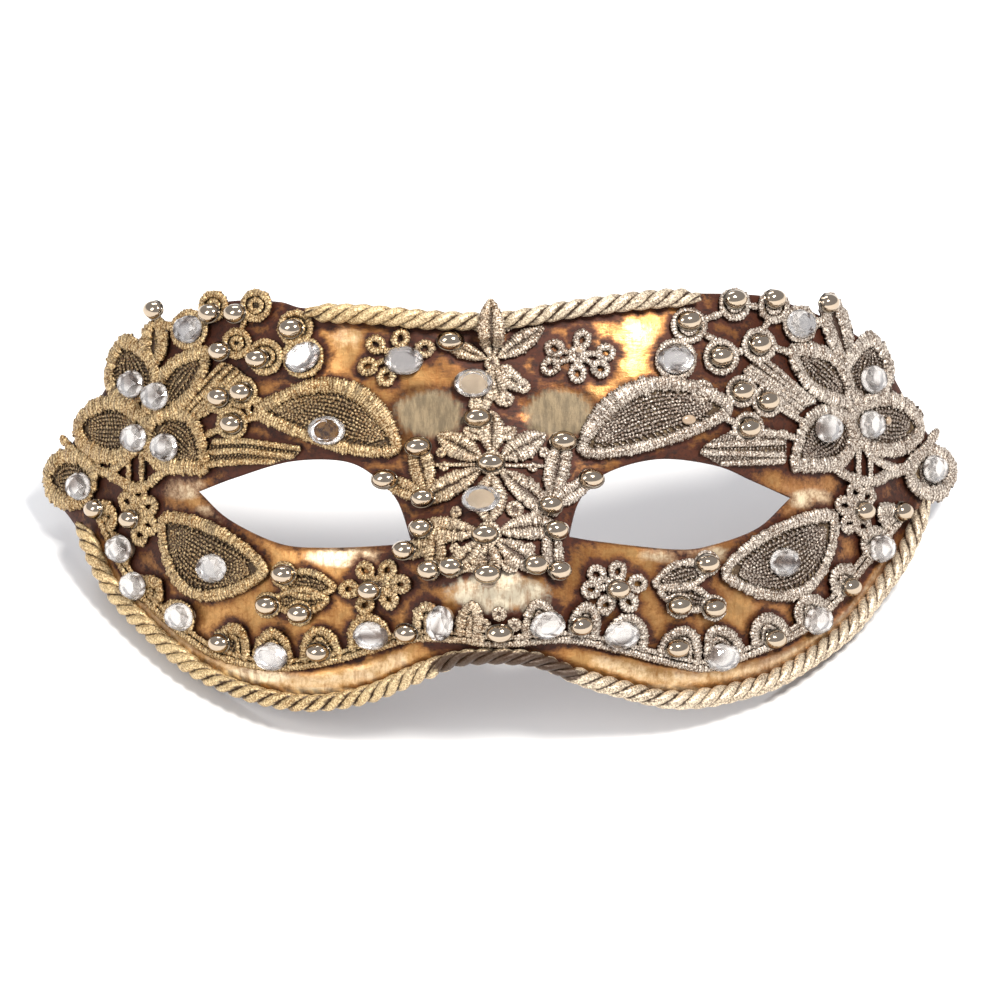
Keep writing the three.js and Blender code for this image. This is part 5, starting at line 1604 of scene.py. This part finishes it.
def build_cord(name, node, edge, inset, sizes, finish, seed, crushed=None):
    """Three strands wound round each other, thinner towards both ends."""
    random = np.random.default_rng(seed)
    radius = sizes.cord / MM
    turn = sizes.cord_turn / MM
    ends = CORD_ENDS["upper" if edge is UPPER_EDGE else "lower"]
    line, out = cord_line(edge, ends, inset, radius)
    along = np.concatenate([[0], np.cumsum(np.linalg.norm(np.diff(line, axis=0), axis=1))])
    ahead = unit(np.gradient(line, axis=0))
    side = unit(np.cross(ahead, out))
    out = np.cross(side, ahead)
    size = 0.5 + 0.5 * smooth_step(0, 5, np.minimum(along, along[-1] - along))
    flat = np.ones(len(line)) if crushed is None else flatness(line[:, 0], crushed)
    beats = along[::40]
    uneven = np.interp(along, beats, 1 + STRAND["uneven"] * random.normal(0, 1, len(beats)))
    sides = STRAND["sides"]
    last = (len(line) - 1) * sides
    gather = Gather()
    for strand in range(STRAND["count"]):
        angle = 2 * np.pi * (along / turn + strand / STRAND["count"])
        helix = radius * STRAND["helix"] * size * uneven
        centre = line + side * (helix * np.cos(angle))[:, None]
        centre = centre + out * (helix * np.sin(angle) * flat - radius * (1 - flat))[:, None]
        outward = side * np.cos(angle)[:, None] + out * np.sin(angle)[:, None]
        forward = unit(np.gradient(centre, axis=0))
        around = unit(np.cross(forward, outward))
        outward = np.cross(around, forward)
        twist = (2 * np.pi * np.arange(sides) / sides)[None, :] - along[:, None] * STRAND["twist"]
        spun = np.cos(STRAND["threads"] * (twist + along[:, None] * 0.5))
        bundle = 1 + STRAND["ridge"] * spun
        reach = radius * STRAND["radius"] * size[:, None] * uneven[:, None] * bundle * flat[:, None] ** 0.5
        points = centre[:, None, :] + around[:, None, :] * (reach * np.cos(twist))[:, :, None]
        points = points + outward[:, None, :] * (reach * np.sin(twist))[:, :, None]
        # Painted shade: the strands are darker where they face the cord's middle, between their threads, and
        # where the cord is crushed.
        away = np.linalg.norm(points - line[:, None, :], axis=2) / (radius * size[:, None])
        deep = np.clip(2.5 - 2.7 * away, 0, 1) - 0.125 * spun
        deep = deep + 0.1 * (1 - flat[:, None]) / PRESSED
        points = np.vstack([points.reshape(-1, 3), centre[:1], centre[-1:]])
        deep = np.concatenate([np.clip(deep, 0, 1).reshape(-1), [1, 1]])
        tips = [fan(last + sides, 0, sides, True), fan(last + sides + 1, last, sides)]
        gather.add(points, [grid_faces(len(line), sides), *tips], deep)
    gather.make(name, [finish], [node])


# The lace


def arch_line(line, arch, inset, count=40):
    """The bow of an arch of the border, drawn in by `inset`."""
    x, y, width, height = arch
    dense = evenly(line, step=ARCH["step"])
    lengths = np.arange(len(dense)) * ARCH["step"]
    at = lengths[np.argmin(np.linalg.norm(dense - (x, y), axis=1))]
    angle = np.linspace(np.pi, 0, count)
    half = width / 2 - inset
    reach = at + half * np.cos(angle) * (1 - ARCH["waist"] * np.sin(angle) ** 3)
    rise = ARCH["foot"] + (height - inset - ARCH["foot"]) * np.sin(angle) ** ARCH["round"]
    behind, foot, ahead = (
        np.column_stack([np.interp(reach + off, lengths, dense[:, axis]) for axis in (0, 1)])
        for off in (-0.5, 0, 0.5)
    )
    return foot + to_left(unit(ahead - behind)) * rise[:, None]


def build_border(finishes):
    """Two cords along the lower edge with arches on them, and a small flower of knots over the nose."""
    random = np.random.default_rng(31)
    gather = Gather()
    line = evenly(smooth_line(BORDER["line"], 16), step=0.5)
    satin_cord(gather, beside(line, 0.75), random=random, **SEWN["border_foot"])
    satin_cord(gather, beside(line, 2.2), random=random, **SEWN["border_line"])
    grid = np.stack([beside(line, reach) for reach in (0.2, 1.4, 2.6)], axis=1).reshape(-1, 2)
    ground_sheet(gather, grid, len(line), 3, LIFT["ground"], random)
    for arch in BORDER["arches"]:
        outer = arch_line(line, arch, ARCH["inset"])
        satin_cord(gather, outer, random=random, **SEWN["arch"])
        satin_cord(gather, arch_line(line, arch, ARCH["inner_inset"]), random=random, **SEWN["inner_arch"])
        middle = 0.5 * (outer[0] + outer[-1])
        shares = (0.0, 0.35, 0.7, 1.0)
        places = np.vstack([middle + (outer[::2] - middle) * share for share in shares])
        ground_sheet(gather, places, len(shares), len(outer[::2]), LIFT["ground"], random)
        for share in (0.3, 0.5, 0.7):
            spot = outer[int(share * (len(outer) - 1))]
            plain_thread(gather, smooth_line([middle, spot], 10), 0.6, LIFT["net"], random)
    for x, y, radius in BORDER["loops"]:
        knot(gather, x, y, radius, random)
    gather.make("border_lace", finishes, ["lace_border"])


def build_temple(side, finishes, seed):
    """The flower, rings, fans and brow leaf of one temple."""
    random = np.random.default_rng(seed)
    temple = TEMPLES[side]
    gather = Gather()
    for petal in temple["petals"]:
        netted_leaf(gather, petal, random)
    netted_leaf(gather, temple["brow"], random, spacing=NET_SPACING["brow"])
    for line in temple["bands"]:
        satin_cord(gather, smooth_line(line), random=random, **SEWN["band"])
    sprig = temple["sprig"]
    satin_leaf(gather, sprig, random)
    satin_cord(gather, leaf_rim(sprig, 0.5), closed=True, random=random, **SEWN["sprig_rim"])
    for x, y, radius in temple["rings"]:
        ring(gather, x, y, radius, random)
    for x, y, radius in temple["loops"]:
        satin_cord(gather, circle(x, y, radius + 0.3), closed=True, random=random, **SEWN["bead_loop"])
    for line in temple["cords"]:
        satin_cord(gather, smooth_line(line), random=random, **SEWN["cord"])
    for lines in temple["webs"]:
        web(gather, lines, random)
    for line in temple["threads"]:
        satin_cord(gather, smooth_line(line), random=random, **SEWN["thread"])
    gather.make(f"temple_lace_{side}", finishes, [f"lace_temple_{side}"])


def build_flower(name, finishes, seed):
    """A ring of looped petals, each on a short stem, round a knot."""
    random = np.random.default_rng(seed)
    flower = FLOWERS[name]
    gather = Gather()
    x, y = flower["at"]
    loop = circle(0, 0, 1.55, 36, flat=0.85)
    for petal_x, petal_y in flower["petals"]:
        away = math.hypot(petal_x - x, petal_y - y)
        turn = math.atan2(petal_y - y, petal_x - x)
        turned = np.column_stack([
            petal_x + loop[:, 0] * math.cos(turn) - loop[:, 1] * math.sin(turn),
            petal_y + loop[:, 0] * math.sin(turn) + loop[:, 1] * math.cos(turn),
        ])
        satin_cord(gather, turned, closed=True, random=random, **SEWN["petal"])
        start = np.array([x, y]) + (np.array([petal_x, petal_y]) - (x, y)) * max(1 - 1.6 / away, 0.1)
        satin_cord(gather, smooth_line([(x, y), tuple(start)], 10), random=random, **SEWN["petal_stem"])
    knot(gather, x, y, 2.2, random)
    gather.make(f"{name}_flower", finishes, [f"flower_{name}"])


def over_cord(leaf, sizes):
    """How far the leaf over the upper cord is raised at each place."""
    middle = float(edge_at(UPPER_EDGE, [leaf["to"][0]])[0]) - CORD_INSET
    start, full = middle + OVER_CORD["start"], middle + OVER_CORD["full"]
    height = 2 * sizes.cord / MM
    return lambda places: height * smooth_step(start, full, places[:, 1])


def build_forehead(finishes, sizes):
    """Small leaves round a knot, one of them over the upper cord."""
    random = np.random.default_rng(61)
    gather = Gather()
    for leaf in FOREHEAD["leaves"]:
        satin_leaf(gather, leaf, random)
    leaf = FOREHEAD["over_cord"]
    raise_by = over_cord(leaf, sizes)
    satin_leaf(gather, leaf, random, raise_by=raise_by)
    outline = leaf_rim(leaf, 0.3)
    satin_cord(gather, outline, closed=True, random=random, raise_by=raise_by, **SEWN["over_cord_rim"])
    for x, y, radius in FOREHEAD["loops"]:
        knot(gather, x, y, radius, random)
    gather.make("forehead_lace", finishes, ["lace_forehead"])


def build_nose(finishes):
    """Leaves round two rings, with knots and threads between them."""
    random = np.random.default_rng(71)
    gather = Gather()
    for leaf in NOSE_LACE["leaves"]:
        satin_leaf(gather, {**leaf, "width": leaf["width"] * FULLER}, random)
    for x, y, radius in NOSE_LACE["loops"]:
        knot(gather, x, y, radius, random)
    for line in NOSE_LACE["threads"]:
        satin_cord(gather, smooth_line(line), random=random, **SEWN["nose_thread"])
    gather.make("nose_lace", finishes, ["lace_nose"])


def build_scroll(side, finishes, seed):
    random = np.random.default_rng(seed)
    scroll = SCROLLS[side]
    gather = Gather()
    for leaf in scroll["leaves"]:
        netted_leaf(gather, leaf, random, rim=1.5)
    for x, y, radius in scroll["loops"]:
        ring(gather, x, y, radius, random, width=1.1)
    gather.make(f"scroll_lace_{side}", finishes, [f"lace_scroll_{side}"])


def build_cheek(side, finishes, seed):
    random = np.random.default_rng(seed)
    gather = Gather()
    netted_leaf(gather, CHEEK_LEAVES[side], random, rim=2.3)
    gather.make(f"cheek_lace_{side}", finishes, [f"lace_cheek_{side}"])


# The stage


def lay_floor(scene):
    finish = Finish("pale_floor")
    cloud = finish.noise(400, 2)
    pale = scene.mask_colours.floor
    colour = finish.mix(darker(pale, 0.97), pale, cloud)
    material = finish.done(Base_Color=colour, Roughness=0.9, Specular_IOR_Level=0.1)
    mesh = bpy.data.meshes.new("floor")
    corners = [(-1, -1), (1, -1), (1, 1), (-1, 1)]
    mesh.from_pydata([(x * FLOOR_REACH, y * FLOOR_REACH, 0) for x, y in corners], [], [(0, 1, 2, 3)])
    mesh.materials.append(material)
    floor = bpy.data.objects.new("floor", mesh)
    scene.collection.objects.link(floor)


def hang_lights(scene):
    """Soft lights that face the mask, and an even sky."""
    for name, (place, width, height, power, tone) in LIGHTS.items():
        light = bpy.data.lights.new(name, "AREA")
        light.shape = "RECTANGLE"
        light.size = width
        light.size_y = height
        light.energy = power
        light.color = tone
        lamp = bpy.data.objects.new(name, light)
        lamp.location = place
        lamp.rotation_euler = (-lamp.location).to_track_quat("-Z", "Y").to_euler()
        scene.collection.objects.link(lamp)
    world = bpy.data.worlds.new("studio")
    world.use_nodes = True
    for name, value in SKY.items():
        world.node_tree.nodes["Background"].inputs[name].default_value = value
    scene.world = world
    scene.view_settings.view_transform = "Standard"


def place_camera(scene):
    """A camera far off that looks straight at the face."""
    camera_data = bpy.data.cameras.new("camera")
    distance = CAMERA["distance"]
    camera_data.lens = camera_data.sensor_width * distance / CAMERA["width_seen"]
    camera = bpy.data.objects.new("camera", camera_data)
    tilt = math.radians(REST["tilt"])
    forward = REST["forward"] * MM - distance * math.sin(tilt)
    up = REST["up"] * MM + distance * math.cos(tilt)
    camera.location = (0, forward, up)
    camera.rotation_euler = (tilt, 0, 0)
    scene.collection.objects.link(camera)
    scene.camera = camera


# Operators: each builds one piece or a group of like pieces


class MASK_OT_stage(bpy.types.Operator):
    """Lay a pale floor, hang soft lights and place the camera"""

    bl_idname = "mask.stage"
    bl_label = "Stage"

    def execute(self, context):
        lay_floor(context.scene)
        hang_lights(context.scene)
        place_camera(context.scene)
        return {"FINISHED"}


class MASK_OT_shell(bpy.types.Operator):
    """Build the gilded shell with its eye holes and rolled band"""

    bl_idname = "mask.shell"
    bl_label = "Shell"

    def execute(self, context):
        build_shell(context.scene.mask_sizes, context.scene.mask_colours)
        return {"FINISHED"}


class MASK_OT_cords(bpy.types.Operator):
    """Lay the twisted cords along the upper and lower edges"""

    bl_idname = "mask.cords"
    bl_label = "Cords"

    def execute(self, context):
        sizes, colours = context.scene.mask_sizes, context.scene.mask_colours
        rose = tuple(0.5 * a + 0.5 * b for a, b in zip(colours.cord, colours.lace_right))
        finish = thread_finish(colours, "cord_thread", colours.cord, rose, metal=0.5, bright=0.22)
        build_cord("upper_twisted_cord", "cord_upper", UPPER_EDGE, -CORD_INSET, sizes, finish, 11)
        build_cord("lower_twisted_cord", "cord_lower", LOWER_EDGE, CORD_INSET, sizes, finish, 12, CRUSHED)
        return {"FINISHED"}


class MASK_OT_lace(bpy.types.Operator):
    """Sew the lace of the temples, cheeks, border, nose and forehead, and the small flowers"""

    bl_idname = "mask.lace"
    bl_label = "Lace"

    def execute(self, context):
        sizes, colours = context.scene.mask_sizes, context.scene.mask_colours
        thread = thread_finish(colours, "lace_thread", colours.lace_left, colours.lace_right)
        finishes = [thread, ground_finish(colours)]
        for number, side in enumerate(("left", "right")):
            build_temple(side, finishes, 21 + number)
            build_cheek(side, finishes, 41 + number)
            build_scroll(side, finishes, 51 + number)
        build_border(finishes)
        build_forehead(finishes, sizes)
        build_nose(finishes)
        for number, name in enumerate(FLOWERS):
            build_flower(name, finishes, 81 + number)
        return {"FINISHED"}


class MASK_OT_beads(bpy.types.Operator):
    """Set the half-round metal beads"""

    bl_idname = "mask.beads"
    bl_label = "Beads"

    def execute(self, context):
        finish = bead_finish(context.scene.mask_colours)
        size = bead_size(context.scene.mask_sizes)
        bed = trim_bed()
        for name, places in bead_groups().items():
            gather = Gather()
            for x, y in places:
                add_bead(gather, x, y, settled(bed, x, y, size))
            gather.make(f"beads_{name}", [finish])
        for name, (x, y) in BEADS_ALONE.items():
            gather = Gather()
            add_bead(gather, x, y, settled(bed, x, y, size))
            gather.make(f"round_bead_{name}", [finish], [f"bead_{name}"])
        return {"FINISHED"}


class MASK_OT_stones(bpy.types.Operator):
    """Set the clear faceted stones, and the dried glue where stones are missing"""

    bl_idname = "mask.stones"
    bl_label = "Stones"

    def execute(self, context):
        colours = context.scene.mask_colours
        finishes = stone_finishes(colours)
        random = np.random.default_rng(91)
        sizes = context.scene.mask_sizes
        stone, bead = stone_size(sizes), bead_size(sizes)
        bed = trim_bed()
        for name, (x, y, turn) in STONES.items():
            gather = Gather()
            middle = MIDDLE_FINISH.get(name, FOIL)
            add_stone(gather, x, y, settled(bed, x, y, stone, turn), turn, middle, random)
            gather.make(f"faceted_stone_{name}", finishes, [f"stone_{name}"], smooth=False)
        gather = Gather()
        for x, y, width, height, lift in GLUE_MARKS:
            point, normal = on_face(np.array([[x, y]]), lift)
            dome(gather, point[0], normal[0], width / 2, 0.6, flat=height / width)
        for x, y, turn in STONES.values():
            dab(gather, x, y, stone, "stone", settled(bed, x, y, stone, turn), turn)
        for places in (*bead_groups().values(), list(BEADS_ALONE.values())):
            for x, y in places:
                dab(gather, x, y, bead, "bead", settled(bed, x, y, bead))
        gather.make("glue_dabs", [glue_finish(colours)])
        return {"FINISHED"}


class MASK_PT_panel(bpy.types.Panel):
    """Lists the steps and the values of the mask"""

    bl_label = "Mask"
    bl_space_type = "VIEW_3D"
    bl_region_type = "UI"
    bl_category = "Mask"

    def draw(self, context):
        layout = self.layout
        for step in STEPS:
            layout.operator(f"mask.{step}")
        for values in (context.scene.mask_sizes, context.scene.mask_colours):
            for name in values.__annotations__:
                layout.prop(values, name)


STEPS = ("stage", "shell", "cords", "lace", "beads", "stones")
CLASSES = (
    MaskSizes,
    MaskColours,
    MASK_OT_stage,
    MASK_OT_shell,
    MASK_OT_cords,
    MASK_OT_lace,
    MASK_OT_beads,
    MASK_OT_stones,
    MASK_PT_panel,
)


def register():
    for each in CLASSES:
        bpy.utils.register_class(each)
    bpy.types.Scene.mask_sizes = bpy.props.PointerProperty(type=MaskSizes)
    bpy.types.Scene.mask_colours = bpy.props.PointerProperty(type=MaskColours)


def unregister():
    del bpy.types.Scene.mask_colours
    del bpy.types.Scene.mask_sizes
    for each in reversed(CLASSES):
        bpy.utils.unregister_class(each)


def main():
    register()
    for step in STEPS:
        getattr(bpy.ops.mask, step)()


if __name__ == "__main__":
    main()
